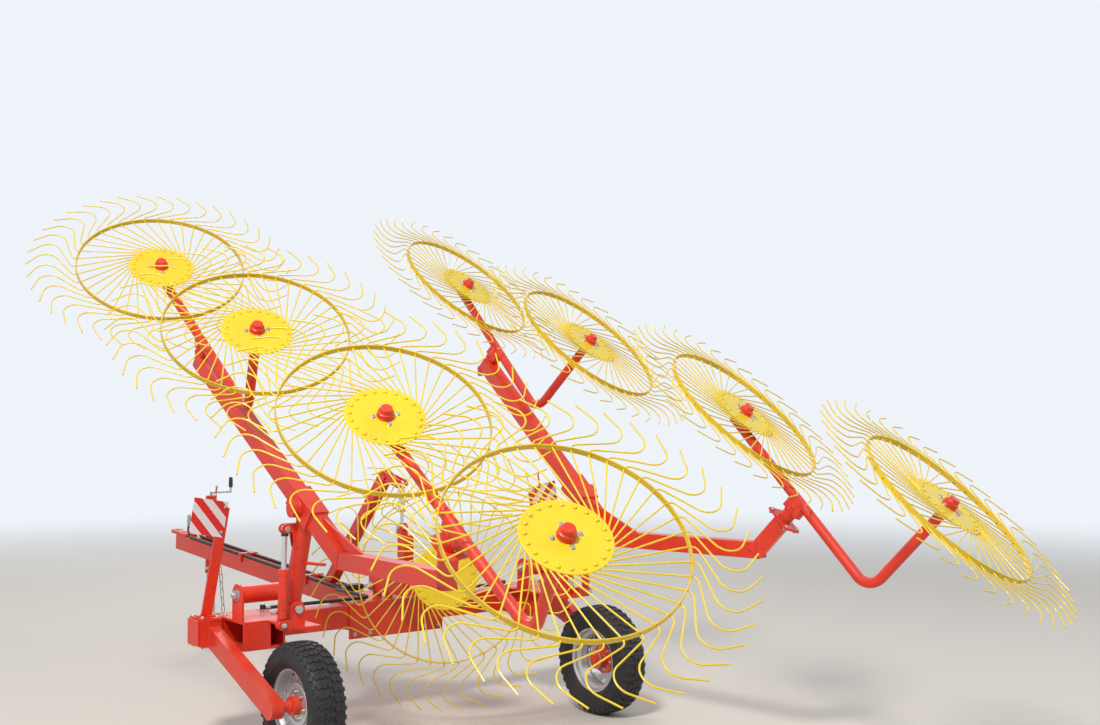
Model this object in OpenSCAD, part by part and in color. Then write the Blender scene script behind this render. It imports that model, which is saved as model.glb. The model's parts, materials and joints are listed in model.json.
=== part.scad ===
// Carted finger-wheel hay rake, wings folded up for the road, on two wheels and its parking jack.
// Millimetres. X to the right, Y forward along the drawbar, Z up; ground at z = 0, wheel axle at y = 0.
// The left wing is drawn in place; the right one is its mirror image.

/* [Rake wheels] */
// Middle diameter of the band that ties the tines
ring_d = 900; // [800:10:1000]
// Width of the band
ring_w = 24; // [16:1:40]
// Thickness of the band
ring_t = 6; // [4:0.5:10]
// Number of tines on a rake wheel
tine_count = 40; // [24:2:44]
// Thickness of the tine wire
tine_d = 6.5; // [5:0.5:9]
// Radius where the wires leave the middle disc
tine_root_r = 120; // [110:1:140]
// Radius of the bend just outside the band
tine_bend_r = 28; // [20:1:40]
// Angle of the bend just outside the band
tine_bend_a = 71; // [50:1:80]
// Straight length after the bend
tine_leg = 140; // [100:5:170]
// Radius of the return hook
tine_hook_r = 65; // [45:1:80]
// Angle of the return hook
tine_hook_a = 113; // [90:1:130]
// Straight length of the tip
tine_tip = 85; // [50:5:100]
// Diameter of the front plate
plate_d = 345; // [300:5:380]
// Thickness of the front plate
plate_t = 4; // [3:0.5:8]
// Diameter of the rake hub
rake_hub_d = 84; // [70:1:110]
// Depth of the rake hub behind the wires
rake_hub_back = 28; // [22:1:40]
// Diameter of the cap at the plate
cap_d = 75; // [60:1:82]
// Diameter of the cap at its end
cap_end_d = 48; // [40:1:58]
// Height of the cap
cap_h = 45; // [35:1:60]

/* [Rows of rake wheels] */
// Sideways distance of the front hub outside the wing hinge
front_hub_out = 186; // [160:1:210]
// Forward place of the front left hub
front_hub_y = 1470; // [1440:1:1500]
// Height of the front left hub
front_hub_z = 2480; // [2440:1:2520]
// Lean of the rake axles from upright
axle_tilt = 42.35; // [41:0.05:44]
// Heading of the rake axles
axle_heading = -109.4; // [-111:0.1:-108]
// Turn of the row about its axles
row_turn = 19.07; // [18:0.01:20]
// Distance between neighbouring axles
wheel_pitch = 1190; // [1150:5:1230]
// Step between neighbouring wheels along their axles
wheel_lead = 480; // [460:5:500]

/* [Rockers] */
// Diameter of the rocker tube
rocker_d = 50; // [40:1:60]
// Depth of the rocker tube below the first wheel
rocker_drop = 58; // [56:1:70]
// Bend radius of the rocker tube
rocker_bend_r = 90; // [70:5:120]
// Diameter of the rake axles and rocker pins
spindle_d = 30; // [25:1:32]
// Running clearance on the diameter
bore_gap = 0.1; // [0.04:0.02:0.16]
// Distance of the rocker pin from its first wheel
rocker_pin_x = 600; // [570:5:630]
// Depth of the middle of the rocker sleeve
sleeve_drop = 180; // [175:1:200]
// Length of the rocker sleeve
sleeve_len = 110; // [100:2:120]
// Outer diameter of the rocker sleeve
sleeve_d = 70; // [56:1:80]

/* [Wing booms] */
// Width of the boom box
boom_w = 80; // [70:1:90]
// Height of the boom box
boom_h = 80; // [70:1:90]
// Sideways distance of the boom knee inside the wing hinge
knee_in = 23; // [0:1:50]
// Forward place of the boom knee
knee_y = -215; // [-240:1:-190]
// Height of the boom knee
knee_z = 994; // [970:1:1010]
// Sideways distance of the boom heel outside the wing hinge
heel_out = 70; // [50:1:90]
// Forward place of the boom heel
heel_y = -1200; // [-1230:1:-1170]
// Height of the boom heel
heel_z = 1010; // [990:1:1030]

/* [Wing hinges] */
// Distance of the wing hinges from the ends of the beam
hinge_inset = 310; // [290:1:320]
// Forward place of the wing hinge
hinge_y = 270; // [260:1:280]
// Height of the wing hinge over the beam plate
hinge_rise = 78; // [70:1:90]
// Reach of the wing bracket inside its hinge
bracket_in = 90; // [80:1:110]
// Reach of the wing bracket outside its hinge
bracket_out = 180; // [160:1:185]
// Distance of the cross tube of the bracket behind the beam
bracket_tube_back = 160; // [150:1:170]
// Rise of that tube over the bracket plate
bracket_tube_rise = 128; // [120:1:140]
// Length of the bracket plates behind that tube
bracket_tail = 80; // [70:1:90]
// Turn of the hinge line from straight ahead
hinge_yaw = 3; // [0:0.5:6]
// Diameter of the hinge pin
hinge_pin_d = 30; // [25:1:36]
// Diameter of the hinge eye
hinge_eye_d = 70; // [60:1:80]
// Length of the hinge eye
hinge_eye_len = 124; // [120:1:130]
// Thickness of the hinge lugs
hinge_lug_t = 14; // [10:1:18]
// Radius of the hinge lugs
hinge_lug_r = 38; // [34:1:40]
// Diameter of the wing post
post_d = 86; // [76:1:90]
// Forward place where the post meets the boom
post_top_y = 100; // [80:1:120]
// Wall of the saddle round the boom
saddle_wall = 12; // [8:1:16]
// Length of the saddle
saddle_len = 200; // [160:5:240]
// Thickness of the plate in the corner of the boom
gusset_t = 12; // [8:1:16]
// Length of that plate along the rear part of the boom
gusset_rear = 200; // [150:5:240]
// Width of the flange at the rear end of the boom
flange_w = 150; // [130:5:160]
// Diameter of the clamp boss on the saddle
boss_d = 90; // [70:1:96]
// Length of the clamp boss on the saddle
boss_len = 50; // [30:1:70]

/* [Lift cylinders] */
// Offset of the cylinder behind the wing hinge
lift_back = 110; // [108:1:114]
// Sideways place of the lower pin from the hinge
lift_base_x = -100; // [-104:1:-98]
// Height of the lower pin from the hinge
lift_base_z = -65; // [-67:1:-62]
// Sideways place of the upper eye from the hinge
lift_eye_x = -85; // [-90:1:-80]
// Height of the upper eye from the hinge
lift_eye_z = 400; // [395:1:405]
// Diameter of the barrel
barrel_d = 44; // [40:1:46]
// Length of the barrel from its pin
barrel_len = 265; // [255:1:270]
// Diameter of the rod
rod_d = 25; // [20:1:28]
// Length of the rod from its eye
rod_len = 245; // [240:1:250]
// Diameter of the cylinder pins
lift_pin_d = 20; // [16:1:24]
// Diameter of the cylinder eyes
lift_eye_d = 44; // [38:1:48]
// Thickness of the cylinder lugs
lift_lug_t = 10; // [8:1:12]
// Width of the cylinder eyes
lift_eye_w = 20; // [16:1:24]

/* [Frame] */
// Side of the cross beam
beam_size = 120; // [100:5:140]
// Length of the cross beam
beam_len = 2320; // [2280:10:2360]
// Forward place of the cross beam
beam_y = 720; // [700:5:740]
// Height of the middle of the cross beam
beam_z = 570; // [550:5:590]
// Side of the drawbar
drawbar_size = 100; // [80:5:110]
// Height of the middle of the drawbar at the beam
drawbar_rear_z = 560; // [556:1:562]
// Forward place of the front end of the drawbar
drawbar_front_y = 3550; // [3450:10:3650]
// Height of the middle of the drawbar at its front end
drawbar_front_z = 728; // [700:1:750]
// Thickness of the clamp plates
clamp_t = 12; // [8:1:16]
// Width of the centre clamp plates
clamp_w = 600; // [500:10:700]
// Length of the centre clamp ahead of the beam
clamp_front = 260; // [220:10:300]
// Depth of the centre clamp below the beam
clamp_drop = 60; // [40:5:80]
// Width of the tow tongue
tongue_w = 90; // [70:5:100]
// Thickness of the tow tongue
tongue_t = 20; // [16:1:30]
// Length of the tow tongue
tongue_len = 280; // [240:10:320]
// Diameter of the hitch hole
hitch_d = 32; // [24:1:40]
// Outer diameter of the hydraulic hoses
hose_d = 20; // [14:1:24]
// Bend radius of the hoses
hose_bend_r = 50; // [45:1:60]

/* [Trailing arms and ground wheels] */
// Distance of the arms from the ends of the beam
arm_inset = 80; // [70:1:90]
// Width of the arm box
arm_w = 60; // [50:1:70]
// Height of the arm box
arm_h = 100; // [80:1:110]
// Width of the plates that clamp the arm to the beam
arm_plate_w = 110; // [100:1:116]
// Diameter of the stub axle
axle_d = 35; // [30:1:40]
// Distance of the middle of a ground wheel from its arm
wheel_offset = 150; // [142:1:160]
// Outer diameter of the tyre
tyre_d = 600; // [580:2:610]
// Outer diameter of the rim
rim_d = 344; // [320:2:360]
// Section radius of the tyre
tyre_section_r = 86; // [80:1:90]
// Wall of the tyre
tyre_wall = 12; // [8:1:16]
// Half width of the rim
rim_half_w = 60; // [56:1:66]
// Wall of the rim
rim_wall = 8; // [4:1:10]
// Number of round holes in the rim disc
rim_holes = 10; // [6:1:14]
// Diameter of the ground hub
hub_d = 90; // [80:1:100]

/* [Warning boards] */
// Height of a warning board
board_h = 184; // [170:2:210]
// Width of a warning board
board_w = 188; // [170:2:210]
// Lean of the board post towards the middle
board_post_lean = 10; // [0:1:12]
// Width of the board post
board_post_w = 56; // [50:1:64]
// Length of the board post
board_post_len = 560; // [540:5:600]

/* [Parking jack] */
// Forward place of the jack
jack_y = 3290; // [3200:5:3340]
// Outer diameter of the jack sleeve
jack_sleeve_d = 76; // [70:1:90]
// Diameter of the jack leg
jack_leg_d = 60; // [50:1:64]
// Height of the lower end of the sleeve
jack_sleeve_z = 520; // [480:5:560]
// Height of the upper end of the sleeve
jack_top_z = 1060; // [1030:5:1100]
// Length of the leg inside the sleeve
jack_overlap = 180; // [150:5:200]
// Diameter of the foot of the jack
jack_foot_d = 160; // [140:5:180]

/* [Kicker wheel] */
// Forward place of the kicker wheel
kicker_y = 180; // [170:1:190]
// Height of the kicker wheel
kicker_z = 810; // [800:1:830]
// Heading of the kicker wheel axle
kicker_heading = -124.8; // [-127:0.1:-122]
// Distance of the kicker arm pivot ahead of the middle of the beam
kicker_pivot_ahead = 80; // [70:1:84]
// Height of the kicker arm pivot over the clamp plate
kicker_pivot_rise = 63; // [58:1:68]
// Length of the kicker arm behind its pivot
kicker_arm_len = 310; // [300:1:320]
// Height of the side plates of the kicker arm
kicker_arm_h = 80; // [70:1:90]
// Length of the block at the rear end of the kicker arm
kicker_block_len = 110; // [100:1:120]
// Distance of the kicker wheel from the box that carries its axle
kicker_stalk = 180; // [170:1:190]
// Height of the lower eye of the kicker strut
strut_low_z = 1040; // [1030:1:1050]
// Height of the upper eye of the kicker strut
strut_high_z = 1280; // [1270:1:1290]
// Forward place of the foot of the gallows
gallows_foot_y = 1410; // [1380:5:1440]
// Side of the gallows box
gallows_size = 60; // [50:1:70]

/* [Hidden] */
$fn = 64;

red = [0.82, 0.10, 0.06];
yellow = [0.93, 0.78, 0.05];
silver = [0.75, 0.75, 0.76];
black = [0.08, 0.08, 0.08];
white = [0.92, 0.92, 0.90];

// Directions of a row: along the wheels, across them, and along the axles
function row_x() = cos(row_turn) * tilt_x() + sin(row_turn) * tilt_y();
function tilt_x() = [cos(axle_tilt) * cos(axle_heading), cos(axle_tilt) * sin(axle_heading), -sin(axle_tilt)];
function tilt_y() = [-sin(axle_heading), cos(axle_heading), 0];
function row_z() = [sin(axle_tilt) * cos(axle_heading), sin(axle_tilt) * sin(axle_heading), cos(axle_tilt)];
hinge_x = hinge_inset - beam_len / 2;
front_hub = [hinge_x - front_hub_out, front_hub_y, front_hub_z];
function in_row(along, up) = front_hub + along * row_x() + up * row_z();

boom_front = in_row(rocker_pin_x, -sleeve_drop);
boom_rear = in_row(rocker_pin_x + 2 * wheel_pitch, 2 * wheel_lead - sleeve_drop);
knee = [hinge_x + knee_in, knee_y, knee_z];
heel = [hinge_x - heel_out, heel_y, heel_z];

beam_top = beam_z + beam_size / 2;
beam_bottom = beam_z - beam_size / 2;
beam_rear = beam_y - beam_size / 2;
beam_front = beam_y + beam_size / 2;
plate_top = beam_top + clamp_t;
arm_x = beam_len / 2 - arm_inset;
wheel_x = arm_x - wheel_offset;
kicker_pivot_y = beam_y + kicker_pivot_ahead;
kicker_pivot_z = plate_top + kicker_pivot_rise;
jack_x = drawbar_size / 2 + 12 + jack_sleeve_d / 2;

// Drawbar from the front face of the beam to its front end
bar_rear = [0, beam_front, drawbar_rear_z];
bar_front = [0, drawbar_front_y, drawbar_front_z];
bar_len = norm(bar_front - bar_rear);
bar_slope = atan2(bar_front.z - bar_rear.z, bar_front.y - bar_rear.y);
function bar_point(across, along, up) = bar_rear + [across,
    along * cos(bar_slope) - up * sin(bar_slope), along * sin(bar_slope) + up * cos(bar_slope)];
function bar_z(y) = bar_rear.z + (y - bar_rear.y) * tan(bar_slope);
hinge = [hinge_x, hinge_y, plate_top + hinge_rise];
post_top = boom_front + (knee - boom_front) * (boom_front.y - post_top_y) / (boom_front.y - knee.y);
boom_dir = (knee - boom_front) / norm(knee - boom_front);
axle_z = tyre_d / 2;

lift_base = [lift_base_x, -lift_back, lift_base_z];
lift_eye = [lift_eye_x, -lift_back, lift_eye_z];
lift_len = norm(lift_eye - lift_base);
lift_lean = atan2(lift_eye.x - lift_base.x, lift_eye.z - lift_base.z);

kicker_centre = [0, kicker_y, kicker_z];
strut_low = [0, kicker_pivot_y - 200, strut_low_z];
strut_high = [0, kicker_pivot_y - 190, strut_high_z];
strut_len = norm(strut_high - strut_low);
strut_lean = atan2(strut_high.y - strut_low.y, strut_high.z - strut_low.z);

// Box from a to b with upright sides, run on past its ends by over_a and over_b
module box_span(a, b, w, h, over_a = 0, over_b = 0) {
    d = b - a;
    translate(a)
        rotate([0, -atan2(d.z, norm([d.x, d.y])), atan2(d.y, d.x)])
            translate([-over_a, -w / 2, -h / 2])
                cube([norm(d) + over_a + over_b, w, h]);
}

// Round bar from a to b
module round_span(a, b, d1, over_a = 0, over_b = 0) {
    d = b - a;
    translate(a)
        rotate([0, 90 - atan2(d.z, norm([d.x, d.y])), atan2(d.y, d.x)])
            translate([0, 0, -over_a])
                cylinder(d = d1, h = norm(d) + over_a + over_b);
}

// Round pipe through points, with bends of radius r; its straight parts end inside the bends
module pipe(points, d1, r) {
    last = len(points) - 1;
    for (i = [0 : last - 1]) {
        u = unit(points[i + 1] - points[i]);
        cut_a = i == 0 ? 0 : bend_cut(points, i, r) - 2;
        cut_b = i == last - 1 ? 0 : bend_cut(points, i + 1, r) - 2;
        round_span(points[i] + cut_a * u, points[i + 1] - cut_b * u, d1 - 0.3);
    }
    for (i = [1 : last - 1])
        pipe_bend(points, i, d1, r);
}

function unit(v) = v / norm(v);
function bend_angle(points, i) = acos(unit(points[i] - points[i - 1]) * unit(points[i + 1] - points[i]));
function bend_cut(points, i, r) = r * tan(bend_angle(points, i) / 2);

module pipe_bend(points, i, d1, r) {
    u = unit(points[i] - points[i - 1]);
    v = unit(points[i + 1] - points[i]);
    n = unit(v - (v * u) * u);
    w = cross(u, n);
    c = points[i] - bend_cut(points, i, r) * u + r * n;
    multmatrix([[-n.x, u.x, w.x, c.x], [-n.y, u.y, w.y, c.y], [-n.z, u.z, w.z, c.z]])
        rotate_extrude(angle = bend_angle(points, i))
            translate([r, 0])
                circle(d = d1);
}

// Cylinder along X or Y, centred
module x_cylinder(d, h) {
    rotate([0, 90, 0])
        cylinder(d = d, h = h, center = true);
}

module y_cylinder(d, h) {
    rotate([90, 0, 0])
        cylinder(d = d, h = h, center = true);
}

// Frame of a row of rake wheels, and of the wing hinge
module on_row() {
    translate(front_hub)
        rotate([0, axle_tilt, axle_heading])
            rotate([0, 0, row_turn])
                children();
}

module on_hinge() {
    translate(hinge)
        rotate([0, 0, -hinge_yaw])
            children();
}

// Frame of the drawbar: origin in the middle of its rear end, Y forward along it
module on_drawbar() {
    translate(bar_rear)
        rotate([bar_slope, 0, 0])
            children();
}

// Frame of a board post: origin in the middle of its foot, Z up along it
module on_board_post() {
    translate([-arm_x - 15, beam_y, plate_top])
        rotate([0, board_post_lean, 0])
            children();
}

module mirrored() {
    mirror([1, 0, 0])
        children();
}

// Outline of one tine: out along one side, round bend and hook, and back
bend_steps = 3;
hook_steps = 6;
bend_centre = [ring_d / 2 + ring_t, -tine_bend_r];
leg_dir = [cos(tine_bend_a), -sin(tine_bend_a)];
leg_start = on_arc(bend_centre, tine_bend_r, 90 - tine_bend_a);
hook_centre = leg_start + tine_leg * leg_dir + tine_hook_r * [-leg_dir.y, leg_dir.x];
tip_a = tine_hook_a - tine_bend_a;
function on_arc(c, r, a) = c + r * [cos(a), sin(a)];
function tine_side(s) = concat(
    [[tine_root_r, s]],
    [for (i = [0 : bend_steps])
        on_arc(bend_centre, tine_bend_r + s, 90 - tine_bend_a * i / bend_steps)],
    [for (i = [0 : hook_steps])
        on_arc(hook_centre, tine_hook_r - s, tine_hook_a * i / hook_steps - 90 - tine_bend_a)],
    [on_arc(hook_centre, tine_hook_r - s, tine_hook_a - 90 - tine_bend_a)
        + tine_tip * [cos(tip_a), sin(tip_a)]]);
function backwards(points) = [for (i = [len(points) - 1 : -1 : 0]) points[i]];
function turned(p, a) = [p.x * cos(a) - p.y * sin(a), p.x * sin(a) + p.y * cos(a)];
one_tine = concat(tine_side(-tine_d / 2), backwards(tine_side(tine_d / 2)));
tine_star = [for (i = [0 : tine_count - 1]) for (p = one_tine) turned(p, i * 360 / tine_count)];

// Rake wheel about its own axle, cap towards +Z
module rake_wheel() {
    difference() {
        union() {
            linear_extrude(height = tine_d, center = true)
                polygon(tine_star);
            difference() {
                cylinder(d = ring_d + ring_t, h = ring_w, center = true);
                cylinder(d = ring_d - ring_t, h = 2 * ring_w, center = true);
            }
            translate([0, 0, tine_d / 2])
                cylinder(d = plate_d, h = plate_t);
            translate([0, 0, -rake_hub_back])
                cylinder(d = rake_hub_d, h = rake_hub_back);
            translate([0, 0, tine_d / 2 + plate_t])
                cylinder(d1 = cap_d, d2 = cap_end_d, h = cap_h);
        }
        translate([0, 0, -rake_hub_back - 1])
            cylinder(d = spindle_d + bore_gap, h = rake_hub_back + cap_h);
    }
}

module wing_wheel(i) {
    on_row()
        translate([i * wheel_pitch, 0, i * wheel_lead])
            rake_wheel();
}

// Axle that carries a rake wheel whose wires lie at z = 0
module rake_spindle() {
    translate([0, 0, -rake_hub_back - 5])
        cylinder(d = spindle_d, h = rake_hub_back + 5 + cap_h - 8);
    translate([0, 0, -rake_hub_back - 5])
        cylinder(d = rocker_d - 6, h = 4.7);
}

// Rocker for wheels i and i + 1, with its pin through the boom sleeve
module rocker(i) {
    sleeve_top = -sleeve_drop + sleeve_len / 2;
    sleeve_end = -sleeve_drop - sleeve_len / 2;
    rise = wheel_lead - rake_hub_back - 5 + rocker_drop;
    on_row()
        translate([i * wheel_pitch, 0, i * wheel_lead]) {
            rake_spindle();
            translate([wheel_pitch, 0, wheel_lead])
                rake_spindle();
            translate([-rocker_d / 2 - 5, 0, -rocker_drop])
                rotate([0, 90, 0])
                    cylinder(d = rocker_d, h = rocker_d / 2 + 5 + wheel_pitch - rocker_bend_r);
            translate([wheel_pitch - rocker_bend_r, 0, rocker_bend_r - rocker_drop])
                rotate([90, 0, 0])
                    rotate([0, 0, -90])
                        rotate_extrude(angle = 90)
                            translate([rocker_bend_r, 0])
                                circle(d = rocker_d);
            translate([wheel_pitch, 0, rocker_bend_r - rocker_drop])
                cylinder(d = rocker_d, h = rise - rocker_bend_r);
            translate([0, 0, -rocker_drop])
                cylinder(d = rocker_d - 6, h = rocker_drop - rake_hub_back - 5);
            translate([rocker_pin_x - sleeve_d * 0.75, 4 - rocker_d / 2, sleeve_top + 0.3])
                cube([sleeve_d * 1.5, rocker_d - 8, -rocker_drop - sleeve_top - 0.3]);
            translate([rocker_pin_x, 0, sleeve_top + 0.3])
                cylinder(d = sleeve_d - 14, h = -rocker_drop - sleeve_top - 0.3);
            translate([rocker_pin_x, 0, sleeve_end - 12])
                cylinder(d = spindle_d, h = sleeve_len + 20);
            if (i == 0)
                translate([rocker_pin_x, 0, sleeve_end - 12.3])
                    cylinder(d = sleeve_d - 14, h = 12);
        }
}

// Sleeve of a rocker, and its bore
module rocker_sleeve(i, d, h) {
    on_row()
        translate([rocker_pin_x + i * wheel_pitch, 0, i * wheel_lead - sleeve_drop])
            cylinder(d = d, h = h, center = true);
}

module boom_front_span(grow = 0) {
    box_span(boom_front, knee, boom_w + grow, boom_h + grow, 0, boom_h / 4);
}

module boom() {
    difference() {
        union() {
            boom_front_span();
            box_span(knee, heel, boom_w, boom_h, boom_h / 4, boom_h / 4);
            box_span(heel, boom_rear, boom_w, boom_h, boom_h / 4, 0);
            knee_gusset();
            rocker_sleeve(0, sleeve_d, sleeve_len);
            rocker_sleeve(2, sleeve_d, sleeve_len);
            on_row()
                translate([rocker_pin_x + 2 * wheel_pitch, 0, 2 * wheel_lead - sleeve_drop])
                    cube([flange_w, boom_w + 30, 12], center = true);
        }
        rocker_sleeve(0, spindle_d + bore_gap, sleeve_len + 28);
        rocker_sleeve(2, spindle_d + bore_gap, sleeve_len + 28);
    }
}

// Upright plate in the upper corner of the boom, between its front and rear parts
module knee_gusset() {
    gusset_front = norm(post_top - knee) - saddle_len / 2 - 18;
    front = unit([boom_front.y - knee.y, boom_front.z - knee.z]);
    rear = unit([heel.y - knee.y, heel.z - knee.z]);
    corner = [knee.y, knee.z];
    reach = boom_h / 2 - 1;
    translate([knee.x - 12, 0, 0])
        rotate([90, 0, 90])
            linear_extrude(height = gusset_t, center = true)
                polygon([corner, corner + gusset_front * front,
                    corner + gusset_front * front + reach * [-front.y, front.x],
                    corner + gusset_rear * rear + reach * [rear.y, -rear.x], corner + gusset_rear * rear]);
}

// Upright from the wing hinge to the boom, with the saddle and the lugs for the cylinder rod
module wing_post() {
    saddle_a = post_top - boom_dir * saddle_len / 2;
    saddle_b = post_top + boom_dir * saddle_len / 2;
    difference() {
        union() {
            round_span(hinge, post_top, post_d);
            on_hinge()
                y_cylinder(hinge_eye_d, hinge_eye_len);
            box_span(saddle_a, saddle_b, boom_w + 2 * saddle_wall, boom_h + 2 * saddle_wall);
            translate(post_top)
                rotate([0, 0, -hinge_yaw])
                    translate([-boom_w / 2 - boss_len / 2, 0, 0])
                        x_cylinder(boss_d, boss_len);
            on_hinge()
                for (side = [-1, 1])
                    translate([0, -lift_back + side * (lift_eye_w / 2 + 4 + lift_lug_t / 2), 0])
                        rod_lug();
        }
        boom_front_span();
        on_hinge()
            y_cylinder(hinge_pin_d + bore_gap, hinge_eye_len + 20);
    }
}

module rod_lug() {
    rotate([90, 0, 0])
        linear_extrude(height = lift_lug_t, center = true)
            difference() {
                union() {
                    translate([lift_eye.x, lift_eye.z])
                        circle(d = lift_eye_d + 4);
                    polygon([[0, lift_eye.z - 100], [lift_eye.x / 2, lift_eye.z - 90],
                        [lift_eye.x / 2 - 10, lift_eye.z - 22], [lift_eye.x, lift_eye.z - 22],
                        [lift_eye.x, lift_eye.z + lift_eye_d / 2 + 2], [0, lift_eye.z + lift_eye_d / 2 + 2]]);
                }
                translate([lift_eye.x, lift_eye.z])
                    circle(d = lift_pin_d);
            }
}

// Frame of a lift cylinder: origin at the lower pin, Z towards the rod eye
module on_lift() {
    on_hinge()
        translate(lift_base)
            rotate([0, lift_lean, 0])
                children();
}

module lift_barrel() {
    on_lift()
        difference() {
            union() {
                y_cylinder(lift_eye_d, lift_eye_w);
                translate([-15, -lift_eye_w / 2, 0])
                    cube([30, lift_eye_w, lift_eye_d / 2 + 14]);
                translate([0, 0, lift_eye_d / 2 + 10])
                    cylinder(d = barrel_d, h = barrel_len - lift_eye_d / 2 - 10);
            }
            y_cylinder(lift_pin_d + bore_gap, lift_eye_w + 10);
            translate([0, 0, 60])
                cylinder(d = rod_d + bore_gap, h = barrel_len);
        }
}

module lift_rod() {
    on_lift()
        difference() {
            union() {
                translate([0, 0, lift_len - rod_len])
                    cylinder(d = rod_d, h = rod_len - lift_eye_d / 4);
                translate([0, 0, lift_len])
                    y_cylinder(lift_eye_d - 4, lift_eye_w);
            }
            translate([0, 0, lift_len])
                y_cylinder(lift_pin_d, lift_eye_w + 10);
        }
}

// Plates over and under the beam that carry the wing hinge, the cylinder and the cross tube
module wing_bracket() {
    inner_x = hinge.x + bracket_in;
    outer_x = hinge.x - bracket_out;
    rear_y = hinge.y - lift_back - lift_eye_w - lift_lug_t;
    front_y = beam_front + clamp_t;
    tube_y = beam_rear - bracket_tube_back;
    tail_y = tube_y - bracket_tail;
    tube_z = plate_top + bracket_tube_rise;
    web_x = hinge_lug_r + 2;
    strip_x = hinge_lug_r + clamp_t;
    difference() {
        union() {
            translate([hinge.x - strip_x, rear_y, beam_top])
                cube([bracket_in + strip_x, front_y - rear_y, clamp_t]);
            for (z = [beam_top, beam_bottom - clamp_t])
                translate([outer_x, tail_y, z])
                    cube([inner_x - outer_x, front_y - tail_y, clamp_t]);
            for (x = [hinge.x - web_x, hinge.x + web_x])
                translate([x - clamp_t / 2, tail_y, beam_bottom])
                    cube([clamp_t, beam_rear - tail_y, beam_size]);
            translate([outer_x, tail_y, beam_bottom])
                cube([bracket_out - web_x, clamp_t, beam_size]);
            on_hinge() {
                for (side = [-1, 1])
                    translate([0, side * (hinge_eye_len / 2 + 2 + hinge_lug_t / 2), 0]) {
                        y_cylinder(2 * hinge_lug_r, hinge_lug_t);
                        translate([-hinge_lug_r, -hinge_lug_t / 2, -hinge_rise])
                            cube([2 * hinge_lug_r, hinge_lug_t, hinge_rise]);
                    }
                y_cylinder(hinge_pin_d, hinge_eye_len + 4 * hinge_lug_t);
                for (side = [-1, 1])
                    translate([0, -lift_back + side * (lift_eye_w / 2 + 2 + lift_lug_t / 2), 0]) {
                        translate([lift_base.x, 0, lift_base.z])
                            y_cylinder(lift_eye_d + 6, lift_lug_t);
                        translate([lift_base.x, -lift_lug_t / 2, lift_base.z - lift_eye_d / 2 - 3])
                            cube([-lift_base.x - 30, lift_lug_t, lift_eye_d + 6]);
                    }
                translate([lift_base.x, -lift_back, lift_base.z])
                    y_cylinder(lift_pin_d, lift_eye_w + 4 * lift_lug_t);
            }
            translate([(inner_x + outer_x) / 2, tube_y, tube_z])
                x_cylinder(boss_d, inner_x - outer_x - 20);
            for (x = [inner_x - clamp_t, outer_x])
                translate([x + clamp_t / 2, tube_y, 0]) {
                    translate([0, 0, tube_z])
                        x_cylinder(boss_d + 20, clamp_t);
                    translate([-clamp_t / 2, -boss_d / 2 - 10, beam_top])
                        cube([clamp_t, boss_d + 20, tube_z - beam_top]);
                }
        }
        translate([-beam_len, beam_rear, beam_bottom])
            cube([2 * beam_len, beam_size, beam_size]);
    }
}

module cross_beam() {
    color(red) {
        translate([0, beam_y, beam_z])
            cube([beam_len, beam_size, beam_size], center = true);
        for (side = [-1, 1])
            translate([side * (beam_len / 2 + 3), beam_y, beam_z])
                cube([6, beam_size + 8, beam_size + 8], center = true);
    }
}

// Drawbar with the plates that clamp it to the beam and the lugs of the kicker arm
module drawbar() {
    nose_w = drawbar_size + 2 * clamp_t + 40;
    nose_y = beam_front + clamp_front;
    lug_x = drawbar_size / 2 - 14;
    color(red)
        difference() {
            union() {
                difference() {
                    on_drawbar()
                        translate([-drawbar_size / 2, -20, -drawbar_size / 2])
                            cube([drawbar_size, bar_len + 20, drawbar_size]);
                    translate([-drawbar_size, beam_rear, beam_bottom - 50])
                        cube([2 * drawbar_size, beam_size, beam_size + 100]);
                }
                for (z = [beam_top, beam_bottom - clamp_t])
                    translate([0, 0, z])
                        linear_extrude(height = clamp_t)
                            polygon([[-clamp_w / 2, beam_rear - clamp_t], [clamp_w / 2, beam_rear - clamp_t],
                                [clamp_w / 2, beam_front + 40], [nose_w / 2, nose_y],
                                [-nose_w / 2, nose_y], [-clamp_w / 2, beam_front + 40]]);
                for (side = [-1, 1])
                    translate([side * (drawbar_size + clamp_t) / 2, beam_front + clamp_front / 2, beam_z])
                        cube([clamp_t + 2, clamp_front, beam_size], center = true);
                translate([-clamp_w / 2, beam_rear - clamp_t, beam_bottom - clamp_drop])
                    cube([clamp_w, clamp_t, beam_size + clamp_drop]);
                for (side = [-1, 1])
                    translate([side * lug_x, kicker_pivot_y, 0]) {
                        translate([-7, -35, beam_top])
                            cube([14, 70, kicker_pivot_z - beam_top]);
                        translate([0, 0, kicker_pivot_z])
                            x_cylinder(70, 14);
                    }
            }
            translate([0, kicker_pivot_y, kicker_pivot_z])
                x_cylinder(spindle_d + bore_gap, 2 * drawbar_size);
        }
}

module tow_tongue() {
    hole_y = bar_len - 190 + tongue_len;
    color(red)
        on_drawbar()
            difference() {
                union() {
                    translate([-tongue_w / 2, bar_len - 150, drawbar_size / 2])
                        cube([tongue_w, tongue_len - 40, tongue_t]);
                    translate([0, hole_y, drawbar_size / 2])
                        cylinder(d = tongue_w, h = tongue_t);
                }
                translate([0, hole_y, drawbar_size / 2 - 1])
                    cylinder(d = hitch_d, h = tongue_t + 2);
            }
}

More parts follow.
